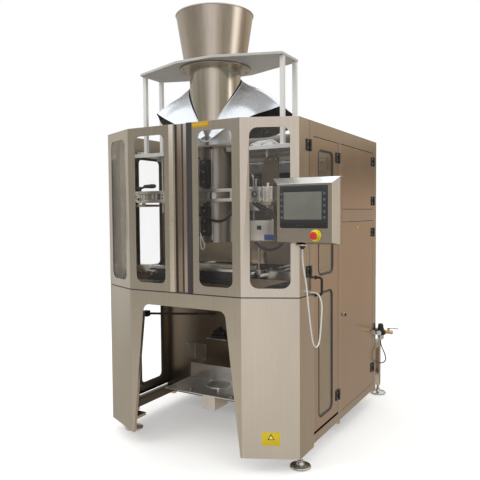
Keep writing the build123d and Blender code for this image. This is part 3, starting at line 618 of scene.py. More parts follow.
def softbox(name, place, aim, size, power, colour):
    data = bpy.data.lights.new(name, "AREA")
    data.shape = "RECTANGLE"
    data.size, data.size_y = size
    data.energy = power
    data.color = colour
    made = bpy.data.objects.new(name, data)
    towards = (at(*aim) - at(*place)).normalized()
    made.matrix_world = Matrix.Translation(at(*place)) @ towards.to_track_quat("-Z", "Y").to_matrix().to_4x4()
    made.visible_glossy = False
    bpy.context.scene.collection.objects.link(made)


def floor():
    bm = bmesh.new()
    bmesh.ops.create_circle(bm, cap_ends=True, segments=96, radius=9)
    mesh = bpy.data.meshes.new("floor")
    bm.to_mesh(mesh)
    bm.free()
    g = Finish("floor_paint", Roughness=0.75, Emission_Color=(1, 1, 1, 1), Emission_Strength=0.30)
    g.feed("Base Color", g.ramp(g.noise(1.2, 3), ((0.3, (0.86, 0.86, 0.85)), (0.7, (0.89, 0.89, 0.88)))))
    mesh.materials.append(g.material)
    made = bpy.data.objects.new("floor", mesh)
    bpy.context.scene.collection.objects.link(made)
    made.visible_glossy = False
    made.visible_diffuse = False


surroundings()
floor()
softbox("key", (-2600, -3600, 4200), (0, 0, 1100), (3.2, 2.4), 55, (1, 0.98, 0.95))
softbox("fill", (4200, -2200, 2600), (200, 200, 1000), (2.4, 2.4), 20, (1, 0.97, 0.93))
softbox("top", (0, -400, 5200), (0, 300, 1000), (3, 3), 30, (1, 1, 1))
bpy.context.scene.view_settings.view_transform = "Standard"


# ---- operator terminal ----
GLASS_IN = (22, 30, 31, 43)          # the screen glass, in from the bezel's left, right, top and bottom


def terminal():
    (x0, x1), (y0, y1), (z0, z1) = span_of("hmi_screen")
    left, right, top, bottom = x0 + GLASS_IN[0], x1 - GLASS_IN[1], z1 - GLASS_IN[2], z0 + GLASS_IN[3]
    raised = (y0, y0 + 3)
    p = Piece("terminal_screen", "terminal", "terminal_bezel", "screen_glass", "key_grey", FITTING,
              replaces="hmi_screen")
    p.prism("y", rounded_path((x0, x1), (z0, z1), 9), (y0 + 1.2, y1), 1.2)
    p.boxes(0.8, 0, ((x0 + 2, left - 1), raised, (z0 + 2, z1 - 2)),
            ((right + 1, x1 - 2), raised, (z0 + 2, z1 - 2)), ((left - 1, right + 1), raised,
                                                              (top + 1, z1 - 2)))
    p.box((x0 + 3, x1 - 3), (y0 - 0.2, y0 + 3), (z0 + 2.5, bottom - 12), 0.8, 3)
    p.box((left, right), (y0 + 0.8, y0 + 2.5), (bottom, top), 0.3, 1)
    for x, k in product(((x0 + left + 1) / 2, (x1 + right - 1) / 2), range(5)):
        z = bottom + 10 + (top - bottom - 20) * k / 4
        p.prism("y", rounded_path(about(x, 6), about(z, 6), 2.5, 3), (y0 - 0.6, y0 + 2), 0.3, 2)
    p.rods("y", [(x0 + 100 + 16 * k, z0 + 14) for k in range(3)], 2.2, (y0 - 0.9, y0), 0.2, 2, 16)
    p.done()

    across, (y0, _), up = span_of("estop_base")
    centre = (sum(across) / 2, sum(up) / 2)
    front = span_of("hmi_box")[1][0]
    p = Piece("stop_button_plate", "terminal", "warning_yellow", FITTING, replaces="estop_base")
    p.lathe("y", centre, ((0, 0), (30, 0), (30, -1.6), (29, -2.6), (19, -3), (0, -3)), 0, 64, front)
    p.lathe("y", centre, ((17, front - 3), (17, y0 + 3), (15.5, y0), (0, y0)), 0, 48)
    for x, z in circle(centre, 24, 4, 45):
        p.box(about(x, 3.2), (front - 3.4, front - 2.4), about(z, 1.3), 0.3, 1)
    p.done()
    low, high = span_of("estop_button")[1]
    p = Piece("stop_button_head", "estop", "warning_red", replaces="estop_button")
    p.lathe("y", centre, ((0, high), (12, high), (12, high - 2), (18.4, high - 3), (20, high - 5),
                          (20, high - 8.5), (18.6, high - 11.4), (14.5, low + 0.9), (9, low + 0.4),
                          (8.4, low + 1.2), (7.6, low + 0.3), (0, low)), 0, 56)
    for x, z in circle(centre, 12, 3, 90):
        p.box(about(x, 2.4), (low, low + 2.2), about(z, 0.9), 0.3)
    p.done()

    across, along, (low, high) = span_of("hmi_gland")
    centre = (sum(across) / 2, sum(along) / 2)
    p = Piece("terminal_gland", "terminal", FITTING, replaces="hmi_gland")
    p.rod("z", centre, 14, (high - 12, high), 0.5)
    p.prism("z", circle(centre, 17, 6), (high - 19, high - 9.6), 1)
    p.lathe("z", centre, ((10.5, high - 19), (10, high - 22), (9, low + 2), (6, low), (0, low)), 0, 32)
    p.done()


# ---- doors: windows, handles, labels and stiles ----
WINDOWS = {"right": (((27, 260), (1069, 1798)), ((30, 250), (223, 965))),
           "left": (((44, 292), (1059, 1821)), ((44, 288), (223, 965)))}
CORNER = 40
TRIM = rounded_path((-5.5, 5.5), (-3, 3), 2.5, 3)
WIDE_TRIM = rounded_path((-9, 9), (-3, 3), 2.5, 3)
FRONT_CORNER = (392, -380)           # where the flat front meets the right chamfer
CHAMFER = atan2(138, 288)


def window_trims():
    half = span_of("side_door_right")[0][1]
    for side, body in (("right", "side_door"), ("left", "frame")):
        p = Piece("window_trim_" + side, body, RUBBER)
        strips = [(half - 1, 0, TRIM), (half - 4.5, -4, TRIM)]
        if side == "left":
            p.place = MIRROR
            strips.append((half - 11, 5, WIDE_TRIM))
        for (y, z), (x, grow, profile) in product(WINDOWS[side], strips):
            ends = rounded_path((y[0] - grow, y[1] + grow), (z[0] - grow, z[1] + grow), CORNER + grow, 8)
            p.sweep([(x, a, b) for a, b in ends], profile, (1, 0, 0), closed=True)
        p.done()


def side_handle():
    (x0, x1), y, (z0, z1) = span_of("side_handle_right")
    middle = sum(y) / 2
    low, high = z0 + 8, z1 - 8
    corner = 15
    bend = x1 - 6.5 - corner
    p = Piece("side_pull_handle", "side_door", FITTING, ZINC, replaces="side_handle_right")
    route = circle((bend, low + corner), corner, 7, 270, 15) + circle((bend, high - corner), corner, 7, 0, 15)
    route = [(x, middle, z) for x, z in [(x0, low), *route, (x0, high)]]
    p.sweep(route, rounded_path((-6.3, 6.3), (-8, 8), 4.5, 4), (0, 1, 0))
    for z, lift in ((low, -13), (high, 13)):
        p.prism("x", rounded_path(about(middle, 9), about(z, 11), 5, 4), (x0, x0 + 5), 1)
        p.bolts("x", [(middle, z + lift)], x0, 1, 3.2, 1, True)
    p.done()


def labels():
    front = span_of("front_door_right")[1][0]
    p = Piece("door_notice_strip", "door_right", "label_orange", "label_tint", slot="warning_yellow")
    p.box((80, 194), (front - 0.6, front), (1918, 1948), 0.2)
    p.box((88, 186), (front - 0.8, front), (1929, 1936), 0.1, 1)
    p.done()

    p = Piece("leg_notice_plate", "frame", "label_yellow", "label_ink", "label_tint", "label_pale",
              slot="warning_yellow")
    p.place = Matrix.Translation((*FRONT_CORNER, 0)) @ Matrix.Rotation(CHAMFER, 4, "Z")
    centre, low, width, height = 161, 155, 101, 76
    p.box(about(centre, width / 2), (-0.6, 0), (low, low + height), 0.2)
    for radius, paint, out in ((23, 1, 0.9), (14, 3, 1.1)):
        p.prism("y", circle((centre, low + 44), radius, 3, 90), (-out, 0), 0, paint)
    p.boxes(0.1, 2, *((about(centre, 38), (-0.8, 0), (z, z + 4)) for z in (low + 13, low + 20)),
            *((about(centre, width / 2 - 2), (-0.75, 0), (z, z + 2)) for z in (low + 2.5,
                                                                               low + height - 4.5)))
    p.done()

    side = span_of("rear_lower_door")[0][1]
    p = Piece("cabinet_notice_mark", "rear_lower", "label_yellow", "label_ink", slot="warning_yellow")
    for radius, out, paint in ((21, 0.5, 1), (17, 0.7, 0)):
        p.prism("x", circle((731, 1333), radius, 3, 90), (side, side + out), 0, paint)
    p.done()


def meeting_stiles():
    z0, z1 = span_of("front_door_right")[2]
    height = (z0 + 1, z1 - 1)
    recess, front = -368, FRONT_CORNER[1]
    # Both stiles are stainless steel: their copper and pale tones are painted reflection, and the left door's
    # bright fold is a painted highlight.
    for name, body, finish, x in (("left_meeting_stile", "door_left", "copper_and_painted_reflection", (-41, -3)),
                                  ("right_meeting_stile", "door_right", "stile_painted_reflection", (3, 41))):
        p = Piece(name, body, finish, RUBBER, "fold_painted_highlight", slot="stainless_door")
        p.box(x, (recess - 1.2, recess), height, 0.5)
        p.box((x[0] - 0.5, x[0] + 4.5), (recess - 4, recess - 1), height, 0.5, 1)
        if body == "door_left":
            p.box((-84, -53), (front - 1.4, front + 0.2), height, 0.5, 2)
        p.done()


# ---- hinges and feet ----
PIN_X = 687.5
HINGES = {"front": (-107, (1809, 1106)), "side": (351, (1773, 276)),
          "upper": (1080.5, (1801, 1515)), "lower": (1080.5, (1286, 277))}


def draw_leaf(p, pin, z, moving):
    """A die-cast hinge half with a raised rim, its knuckle and two cap screws."""
    half, gap, side = 32, 0.3, -1 if moving else 1
    near, far = sorted((pin + side * 8.5, pin + side * (44 if moving else 33)))
    face = 680
    p.prism("x", rounded_path((near, far), about(z, half), 4, 3), (face, face + 4), 0.8)
    own = (z + gap, z + half) if moving else (z - half, z - gap)
    p.box((face + 1, face + 5), (pin, pin + side * 9), own, 0.6)
    p.rod("z", (PIN_X, pin), 7, own, 1)
    screws = [((near + far) / 2, z + lift) for lift in (-17, 17)]
    p.rods("x", screws, 5.6, (face + 4, face + 5.2), 0.4, 0, 24)
    p.bolts("x", screws, face + 4, 1, 3.6, 1, True)


def hinges():
    fixed = Piece("hinge_frame_halves", "frame", FITTING, ZINC, replaces="hinge_fixed_leaves")
    for key, body, end in (("front", "door_right", "front_right"), ("front", "door_left", "front_left"),
                           ("side", "side_door", "side_right"), ("upper", "rear_upper", "rear_upper"),
                           ("lower", "rear_lower", "rear_lower")):
        pin, heights = HINGES[key]
        p = Piece("hinge_door_halves_" + end, body, FITTING, ZINC, replaces="hinge_leaves_" + end)
        if body == "door_left":
            p.place = MIRROR
        fixed.place = p.place
        for z in heights:
            draw_leaf(p, pin, z, True)
            draw_leaf(fixed, pin, z, False)
            fixed.rod("z", (PIN_X, pin), 3, (z - 32, z + 33), 0.6, 1)
        p.done()
    fixed.done()


FEET = ((645, -160), (-570, -160), (645, 1344), (-645, 1344))


def feet():
    threads = [(0, 24)]
    for k in range(27):
        threads += [(10, 24 + 2 * k), (9, 25 + 2 * k)]
    threads.append((0, 80))
    disc = ((0, 4), (60, 4), (60, 9), (57, 12.5), (40, 15), (24, 19), (19, 27), (17, 31), (0, 31))
    p = Piece("levelling_foot_set", "frame", ZINC, RUBBER, replaces="levelling_feet")
    p.rods("z", FEET, 57, (0, 5), 1.5, 1, 56)
    for place in FEET:
        p.lathe("z", place, disc, 0, 56)
        p.lathe("z", place, threads, 0, 24)
        p.prism("z", circle(place, 18, 6, 22.92), (66, 80), 1)
        p.prism("z", circle(place, 17, 6, 51.57), (31, 41), 1)
    p.done()


# ---- funnel, platform and shoulder ----
DECK = span_of("inner_deck")[2][1]
POSTS = tuple(product((500, -500), (-70, 100)))
PLATFORM = 2340                      # top face of the platform plate


def platform_details():
    top = span_of("hopper_funnel")[2][1]
    p = Piece("funnel_rim_bead", "frame", "funnel_steel")
    p.lathe("z", (0, 0), ((236, -9), (241, -9), (243, -5), (241.5, -1), (238, 0), (236, -2), (236, -9)), 0,
            96, top)
    p.done()

    seam = radians(-78)
    route = [(r * cos(seam), r * sin(seam), z) for r, z in ((189.5, 2345), (215, 2502), (240.5, 2652))]
    curve_piece("funnel_weld_seam", "frame", "funnel_steel", [route], 1.6, order=2)

    p = Piece("flange_screws", "frame", ZINC)
    p.bolts("z", circle((0, 0), 203, 12, 15), 2322, -1, 5.5)
    p.done()

    p = Piece("platform_bolt_set", "frame", ZINC, replaces="platform_bolts")
    p.bolts("z", POSTS, PLATFORM, 1, 9)
    p.bolts("z", circle((0, 0), 205, 6, 30), PLATFORM, 1, 7)
    p.done()

    p = Piece("platform_post_feet", "frame", "white_paint", ZINC)
    for x, y in POSTS:
        p.prism("z", rounded_path(about(x, 32), about(y, 26), 6, 4), (DECK, DECK + 5), 1)
        p.bolts("z", product(about(x, 23), about(y, 17)), DECK + 5, 1, 4.5, 1)
    p.done()

    bead = []
    for k in range(41):
        angle = 6 + 348 * k / 40
        around = min(angle, 360 - angle) / 180
        height = 1878 + 425 * (1 - (1 - around) ** 2.5)
        turn = radians(angle + 14)
        bead.append((168 * sin(turn), -168 * cos(turn), height))
    curve_piece("shoulder_bend_bead", "frame", "shoulder_sheet", [bead], 3.2)
    rim = [(-67, -240, 1938), (-20, -214, 1901), (26, -188, 1868), (48, -181, 1863), (66, -178, 1868),
           (127, -178, 1903), (188, -178, 1938)]
    curve_piece("shoulder_front_rim", "frame", ALUMINIUM, [rim], 4, order=2)


# ---- vertical sealer ----
ARM = -258                           # Y of the sealer arm's middle plane
ARM_FACE = ARM - 23                  # front face of its end blocks
PIVOT = (500, ARM)
CLAMP = (-405, ARM)
HOSE_RADIUS = 8.5


def sealer_arm():
    p = Piece("sealer_swing_arm", "sealer", ALUMINIUM, STEEL, FITTING, "white_cable",
              "brass", ZINC, replaces="sealer_arm")
    p.boxes(2, 0, *(((-395, 472), about(ARM, 17), z) for z in ((1502, 1519), (1558, 1575))),
            *((x, about(ARM, 14), (1517, 1560)) for x in ((-395, -372), (-286, -262), (-236, -196),
                                                          (-110, -84),
                                                         (84, 110), (262, 290))),
            ((-428, -390), (-257, -241), (1503, 1574)), ((-372, -286), (-264, -250), (1518, 1559)),
            ((-428, -390), (-275, -256), (1546, 1574)))
    p.rods("y", product((-352, -306), (1528, 1549)), 5.5, (-266, -263), 0.5, 1, 20)
    p.lathe("y", (-404, 1526), ((9, -259), (25, -259), (27, -262), (27, -272), (24, -276), (17, -277),
                                (15, -274), (9, -273), (9, -259)), 1, 40)
    p.rod("y", (-404, 1526), 9, (-275, ARM), 1.5, 2, 24)
    p.lathe("z", (-372, -262), ((0, 1503), (13, 1503), (13, 1492), (9, 1489), (9, 1481), (6, 1478),
                                (0, 1478)), 4, 6)
    height = (1496, 1580)
    p.boxes(1.5, 0, *((x, about(ARM, 23), height) for x in ((470, 489), (511, 538))))
    p.boxes(1, 0, *(((488, 512), y, height) for y in ((ARM_FACE, -269.5), (-246.5, ARM + 23))))
    for z in ((1497, 1502), (1574, 1579)):
        p.ring("z", PIVOT, 9.6, 12.5, z, 0.5, 1)
    p.box((385, 464), (ARM_FACE, -236), (1497, 1580), 2.5)
    p.bolts("y", [*product((402, 447), (1516, 1562)), *product((480, 528), (1506, 1570))], ARM_FACE, -1, 4.5,
            5, True)
    dial = (425, 1539)
    p.ring("y", dial, 10, 17, (-284, -280), 0.6, 2)
    p.rod("y", dial, 8, (-286, -280), 1, 1, 24)
    marks = [(dial[0] + 25 * a, dial[1] + 17 * b) for a, b in circle((0, 0), 1, 6)]
    p.rods("y", marks, 2.4, (-281.6, -280), 0.3, 2, 12)
    p.prism("y", rounded_path((133, 163), (1517, 1560), 13), (-262, -250), 2, 3)
    p.rods("y", product((-274, -216), (1528, 1549)), 5, (-273.4, -271), 0.4, 2, 20)
    p.done()


def seal_head():
    p = Piece("vertical_seal_head", "seal_bar", ALUMINIUM, "jaw_block", ZINC, "brass",
              FITTING, replaces="seal_bar")
    p.box(about(0, 70), (-240.7, -222), (1496, 1581), 2)
    p.box(about(0, 22), (-222, -208), (1310, 1760), 1.5)
    p.box(about(0, 15), (-209, -201), (1316, 1754), 1)
    p.box(about(0, 7), (-203, -183), (1300, 1770), 1.2, 1)
    for z in (1400, 1660):
        p.lathe("y", (0, z), ((0, -262), (7, -262), (7, -257), (19, -256), (22, -253), (22, -247), (20, -246),
                              (20, -230), (22, -229), (22, -222), (0, -222)), 0, 40)
        p.rod("x", (-252, z), 4, (20, 30), 0.6, 3, 16)
    p.boxes(3, 1, ((24, 84), (-226, -190), (1592, 1752)), ((24, 84), (-222, -192), (1302, 1478)))
    p.box((20, 26), (-220, -196), (1310, 1745), 1)
    for face, heights in ((-226, (1620, 1680, 1735)), (-222, (1330, 1390, 1450))):
        p.bolts("y", product((54,), heights), face, -1, 4.5, 2, True)
    p.bolts("y", product((-52, 52), (1510, 1567)), -240.7, -1, 4, 2, True)
    p.done()
    loop = ((26, -226, 1318), (40, -234, 1292), (62, -237, 1262), (66, -238, 1230), (50, -238, 1214),
            (36, -237, 1234), (32, -232, 1270), (30, -226, 1306))
    curve_piece("seal_head_wire", "seal_bar", "white_cable", [loop], 3.5)


def clamp_and_hose():
    x, y = CLAMP
    p = Piece("clamp_hand_lever", "clamp", FITTING, STEEL, replaces="clamp_lever")
    p.lathe("z", CLAMP, ((0, 1575.3), (12, 1575.3), (12, 1580), (9, 1582), (9, 1586), (15, 1589), (15, 1600),
                         (12, 1604), (0, 1605)), 0, 32)
    p.sweep([(x, y, 1594), (x + 20, y, 1597), (x + 46, y, 1603)], circle((0, 0), 7, 12), (0, 0, 1))
    p.lathe("x", (y, 1605), ((0, 34), (8, 34), (11, 46), (12, 74), (14, 96), (12, 118), (7, 124), (0, 125)),
            0, 24, x)
    p.done()
    hose = ((-20, -262, 1502), (6, -262, 1462), (52, -246, 1418), (107, -240, 1396), (176, -240, 1382),
            (244, -243, 1412), (286, -252, 1460), (292, ARM, 1502))
    curve_piece("sealer_air_hose", "sealer", "black_hose", [hose], HOSE_RADIUS)


# ---- film belts and jaws ----
BELT_X = 205
PULLEYS = (1390, 1640)
BELT = ((-2, -30), (2, -30), (2, -22), (0.9, -20), (0.9, -2), (2, 0), (0.9, 2), (0.9, 20), (2, 22), (2, 30),
        (-2, 30))
PULLEY = ((0, -33), (11, -33), (11, -29), (28, -28), (31, -30.5), (37.6, -30.5), (37.6, 30.3), (0, 30.3))


def belts():
    bracket = (BELT_X + 44, BELT_X + 115)
    motor = (BELT_X, PULLEYS[1])
    for side, name in ((1, "right"), (-1, "left")):
        p = Piece("film_pull_belt_" + name, "belt_" + name, "belt_rubber", ALUMINIUM, STEEL,
                  "jaw_block", ZINC, replaces="belt_unit_" + name)
        p.place = Matrix.Diagonal((side, 1, 1, 1))
        route = circle(motor, 40, 13, 0, 15) + circle((BELT_X, PULLEYS[0]), 40, 13, 180, 15)
        p.sweep([(x, 0, z) for x, z in route], BELT, (0, 1, 0), closed=True)
        for z in PULLEYS:
            p.lathe("y", (BELT_X, z), PULLEY, 1, 48)
            p.rod("y", (BELT_X, z), 7, (-36, 31), 1, 2, 24)
            p.rods("y", circle((BELT_X, z), 20, 5), 4.5, (-29.2, -27), 0.4, 3, 16)
        p.box(about(BELT_X, 24), (-26, 28), (1436, 1594), 3, 1)
        p.prism("y", rounded_path((BELT_X - 25, BELT_X + 47), (1360, 1670), 12), (30.5, 42), 1.2, 1)
        p.boxes(2, 1, (bracket, (-30, 42), (1530, 1580)), (bracket, (-30, 42), (1450, 1500)))
        p.boxes(1, 1, *(((BELT_X + 46, BELT_X + 113), y, (1499, 1531)) for y in ((-30, -14.5), (14.5, 42))))
        p.ring("x", (0, 1515), 12.6, 24, (BELT_X + 113, BELT_X + 117), 0.8, 2)
        p.bolts("x", product((-22, 32), (1462, 1568)), bracket[1], 1, 4, 4, True)
        p.prism("y", rounded_path(about(BELT_X, 35), about(PULLEYS[1], 35), 8), (42, 56), 1.5, 1)
        p.rod("y", motor, 32, (56, 146), 3, 3, 48)
        for k in range(5):
            p.ring("y", motor, 31, 34, (66 + 14 * k, 70 + 14 * k), 0.6, 3)
        p.rod("y", motor, 28, (146, 160), 4, 3, 40)
        p.done()


JAW = about(0, 250)
SEAL_BANDS = ((1040, 1064), (1076, 1100))


def bar_on_rods(p, y, z, paint):
    """A jaw's crosshead, left open where the two guide rods pass."""
    p.box(about(0, 289), y, z, 2, paint)
    for side in (1, -1):
        reach = side * 345
        p.boxes(1.5, paint, ((side * 287, reach), y, (z[0], 1053)), ((side * 287, reach), y, (1087, z[1])))
        p.box((side * 328, reach), y, (1052, 1088), 1, paint)
        p.ring("y", (side * 310, 1070), 15.6, 17.6, (y[0] + 1, y[1] - 1), 0.5, 3)


def seal_faces(p, block, teeth):
    """The jaw's two heated bands with their serrations."""
    for low, high in SEAL_BANDS:
        p.box(JAW, block, (low, high), 1.5, 1)
        p.boxes(0.6, 3, *((about(0, 248), teeth, (low + 2 + 5.6 * k, low + 5 + 5.6 * k)) for k in range(4)))


def jaws():
    p = Piece("front_sealing_jaw", "jaw_front", "jaw_block", ALUMINIUM, ZINC, STEEL, replaces="jaw_front")
    p.box(JAW, (-130, -88), (1040, 1100), 2, 1)
    seal_faces(p, (-90, -64), (-66, -60))
    bar_on_rods(p, (-249, -211), (1020, 1094), 0)
    p.box(about(0, 345), (-250, -210), (1095, 1110), 2, 1)
    p.boxes(0.8, 0, *((about(0, 284), (-251, -248), (1024 + 14 * k, 1030 + 14 * k)) for k in range(5)))
    for side in (1, -1):
        p.box(about(side * 200, 15), (-212, -128), (1050, 1090), 2, 1)
        p.bolts("x", product((-170,), (1058, 1082)), side * 200 + 15, 1, 4.5, 2, True)
    p.bolts("z", product((150, 250, 335, -150, -250, -335), (-230,)), 1110, 1, 5, 2, True)
    p.done()

    p = Piece("rear_sealing_jaw", "jaw_rear", "jaw_block", ALUMINIUM, ZINC, STEEL, replaces="jaw_rear")
    seal_faces(p, (64, 122), (60, 66))
    p.box(JAW, (121, 131), (1040, 1100), 1.5, 1)
    bar_on_rods(p, (130, 170), (1040, 1100), 0)
    p.bolts("z", product((-230, -120, 120, 230), (100,)), 1100, 1, 5, 2, True)
    p.done()

    p = Piece("film_cut_knife", "knife", "blade_steel", replaces="cutting_knife")
    outline = [(-244, 95)]
    for k in range(61):
        outline += [(-244 + 8 * k, 66), (-240 + 8 * k, 62)]
    outline += [(244, 66), (244, 95)]
    p.prism("z", outline, (1068.8, 1071.2), 0)
    p.done()


# ---- bag support ----
def bag_support():
    p = Piece("bag_lift_disc", "bag_support", ALUMINIUM, STEEL, replaces="bag_support")
    p.lathe("z", (0, 0), ((0, 326), (30, 326), (34, 329), (72, 330), (76, 331), (77, 333), (75.5, 335),
                          (70, 334.2), (0, 334.2)), 0, 72)
    p.rod("z", (0, 0), 13.9, (211, 328), 1.5, 1, 32)
    p.done()
    p = Piece("chute_side_sheets", "frame", "clear_panel", ZINC)
    for side in (1, -1):
        x = side * 139
        p.box(about(x, 2), (-120, 150), (302, 475), 0.8)
        p.boxes(0.6, 1, *(((x + side * 2, x + side * 22), about(y, 12), (302, 305)) for y in (-90, 120)))
        p.bolts("z", product((x + side * 13,), (-90, 120)), 305, 1, 3.5, 1, True)
    p.done()


# ---- rear film path and air unit ----
def film_path():
    y, z = 1400, 540
    p = Piece("film_mandrel", "spindle", STEEL, "roller_aluminium", FITTING, replaces="film_spindle")
    p.rod("x", (y, z), 20, about(0, 598), 2)
    cone = ((20, 298), (30, 299), (32, 303), (69, 352), (70, 356), (68, 360), (34, 362), (34, 388), (31, 390),
            (20, 390))
    for side in (1, -1):
        p.lathe("x", (y, z), [(radius, side * x) for radius, x in cone], 1, 56)
    p.rods("z", ((375, y), (-375, y)), 7, (z + 32, z + 54), 1.5, 2, 12)
    p.done()

    y, z = 1195, 640
    roller = (y + 150, z)
    p = Piece("dancer_frame", "dancer", "roller_aluminium", STEEL, ZINC, replaces="dancer_arm")
    p.rod("x", (y, z), 12, about(0, 596), 1.5, 1)
    p.lathe("x", roller, ((0, -500), (19, -500), (22, -497), (22, 497), (19, 500), (0, 500)), 0, 48)
    for side in (1, -1):
        p.prism("x", rounded_path((y - 20, y + 170), about(z, 16), 15, 8), (side * 520, side * 532), 1)
        p.rod("x", roller, 10, (side * 497, side * 524), 1, 1, 24)
        p.bolts("x", [roller], side * 532, side, 6, 2)
    p.done()

    idler = (1195, 850)
    p = Piece("film_idler", "idler", "roller_aluminium", STEEL, replaces="film_idler_roller")
    p.rod("x", idler, 12, about(0, 596), 1.5, 1)
    half = ((12, 540), (21, 540), (24, 536), (24, 500), (23, 498), (24, 496))
    p.lathe("x", idler, [*((radius, -x) for radius, x in half), *half[::-1]], 0, 48)
    p.done()


def air_unit():
    y, z = 1225, 520
    bowl, valve, gauge = (700, y), (760, y), (700, z - 4)
    p = Piece("air_service_unit", "frame", ALUMINIUM, FITTING, "gauge_face", "brass",
              ZINC, replaces="air_unit")
    p.box((650, 665), (1160, y + 30), about(z, 20), 2, 4)
    p.box((665, 735), about(y, 27), (z - 22, z + 12), 4, 1)
    p.ring("z", bowl, 15.4, 25, (z + 11, z + 30), 1.5, 1)
    p.lathe("z", bowl, ((0, -21), (25, -21), (26, -25), (23, -28), (22, -30), (22, -50), (18, -60), (8, -64),
                        (0, -65)),
            2, 40, z)
    for a, b in circle(bowl, 22, 8):
        p.box(about(a, 1.5), about(b, 1.5), (466, z - 26), 0.5, 1)
    p.lathe("x", (y, z), ((8, 735), (14, 735), (15, 738), (15, 748), (12.5, 750), (12.5, 774), (15, 776),
                          (15, 787), (13, 790), (8, 790), (8, 735)), 3, 36)
    p.ring("z", valve, 5.4, 9, (z + 12, z + 24), 0.8, 3, 24)
    p.lathe("y", gauge, ((0, -26), (9, -26), (9, -32), (21, -33), (22, -35), (22, -46), (20, -48),
                         (19, -46.5), (0, -46.5)), 1, 40, y)
    p.rod("y", gauge, 18.6, (y - 47.2, y - 46), 0.2, 2, 40)
    p.box((699, 701), (y - 47.8, y - 47), (z - 6, z + 9), 0.2, 1)
    p.lathe("y", (650, 358), ((0, 0), (12, 0), (12, 3), (9, 4), (9, 12), (6, 13), (0, 13)), 3, 24, 1160)
    p.rod("z", bowl, 6, (452, 458), 0.6, 3, 20)
    p.bolts("x", product((1180,), about(z, 12)), 665, 1, 4.5, 4)
    p.done()

    p = Piece("pressure_knob", "regulator", FITTING, "brass", replaces="regulator_knob")
    p.lathe("z", bowl, ((0, 12), (14.8, 12), (14.8, 31), (19, 31), (20, 33), (20, 52), (17, 57), (14, 61),
                        (6, 62), (0, 61)), 0, 40, z)
    p.rods("z", circle(bowl, 19.4, 16), 1.5, (z + 33, z + 52), 0.4, 0, 8)
    p.done()

    p = Piece("valve_handle", "valve", FITTING, ZINC, replaces="valve_lever")
    p.rod("z", valve, 4.9, (z + 17, z + 30), 0.6, 1, 20)
    p.sweep([(x, y, z + lift) for x, lift in ((752, 28), (784, 28), (800, 31), (834, 31))],
            rounded_path((-7.5, 7.5), (-1.8, 1.8), 1.5, 3), (0, 0, 1))
    p.bolts("z", [valve], z + 29, 1, 4.5, 1)
    p.done()


def cam_lock():
    y, z = 457, 772
    p = Piece("cabinet_cam_lock", "lock", ZINC, FITTING, replaces="cabinet_lock")
    p.rod("x", (y, z), 8.8, (660, 683), 0.8)
    p.lathe("x", (y, z), ((0, 680.4), (13, 680.4), (14, 682), (14, 684.5), (12, 686), (0, 686)), 0, 40)
    p.box((661, 665), (y - 34, y), about(z, 8), 1)
    p.box((685.5, 696), about(y, 2.5), about(z, 9), 1, 1)
    p.done()


def cabinet_modules():
    p = Piece("cabinet_module_set", "frame", "cabinet_parts", FITTING, "gauge_face", ZINC,
              "blue_plastic", replaces="control_panel")
    wide = about(0, 560)
    p.boxes(1, 3, (wide, (1060, 1063), (250, 1300)), (wide, (1063, 1082), (250, 270)),
            (wide, (1063, 1082), (1280, 1300)))
    for z in (400, 700, 1000):
        p.box(about(0, 540), (1052, 1060), (z + 72, z + 107), 0.8, 3)
        p.box(about(0, 540), (1012, 1060), (z - 62, z - 22), 2, 2)
        for k in range(7):
            x = -490 + 150 * k
            tall = 180 - 18 * ((k * 5 + z // 100) % 3)
            p.box((x, x + 90), (962, 1052), (z, z + tall), 3, (k + z // 300) % 2)
            p.box((x + 12, x + 78), (960, 964), (z + tall - 46, z + tall - 14), 1, 2)
            p.boxes(0.8, 3, *(((x + a, x + a + 10), (960, 964), (z + 8, z + 26)) for a in (14, 31, 48, 65)))
            p.rod("y", (x + 20, z + 50), 3, (960, 963), 0.4, 4, 12)
    p.done()


# ---- what shows through the windows ----
def cylinders_and_guide():
    p = Piece("belt_side_cylinders", "frame", FITTING, ALUMINIUM)
    for near, far in ((300, 378), (394, 606)):
        p.rod("x", (-16, 1614), 25, (near + 8, far - 8), 2, 0, 32)
        p.boxes(2, 1, *((x, (-42, 10), (1588, 1640)) for x in ((near, near + 12), (far - 12, far))))
    p.done()

    arc = [(398 + 42 * a, 1640 + 126 * b) for a, b in circle((0, 0), 1, 9, 90, 10)]
    p = Piece("film_turn_guide", "frame", "brown_guide", ZINC, slot=ALUMINIUM)
    p.prism("y", [(469, 1588), (469, 1766), (398, 1766), *arc, (356, 1588)], (-58, -52), 1)
    p.bolts("y", ((385, 1606), (450, 1606), (450, 1748), (412, 1748)), -58, -1, 4, 1, True)
    p.box((380, 460), (-60, -57), (1660, 1664), 0.8)
    p.done()


def deck_things():
    p = Piece("deck_boxes", "frame", "white_paint", ALUMINIUM, FITTING)
    p.boxes(2, 0, ((318, 372), (-98, -60), (DECK, DECK + 12)),
            ((330, 392), (-92, -66), (DECK + 12, DECK + 18)), ((386, 448), (-100, -52), (DECK, DECK + 9)))
    p.prism("z", rounded_path((396, 440), (-92, -60), 8, 4), (DECK + 9, DECK + 15), 1)
    p.box((-560, -520), (-96, -40), (DECK, DECK + 16), 2, 1)
    p.done()
    wires = [[(324, -80, 18), (350, -84, 28), (392, -78, 24), (420, -74, 34), (446, -70, 26), (470, -60, 4)],
             [(330, -70, 20), (362, -66, 30), (400, -60, 20), (430, -64, 26), (462, -50, 5)],
             [(300, -90, 8), (330, -94, 20), (376, -90, 16), (410, -84, 24), (440, -80, 14)]]
    wires = [[(x, y, DECK + z) for x, y, z in wire] for wire in wires]
    curve_piece("deck_wires", "frame", "white_cable", wires, 4)


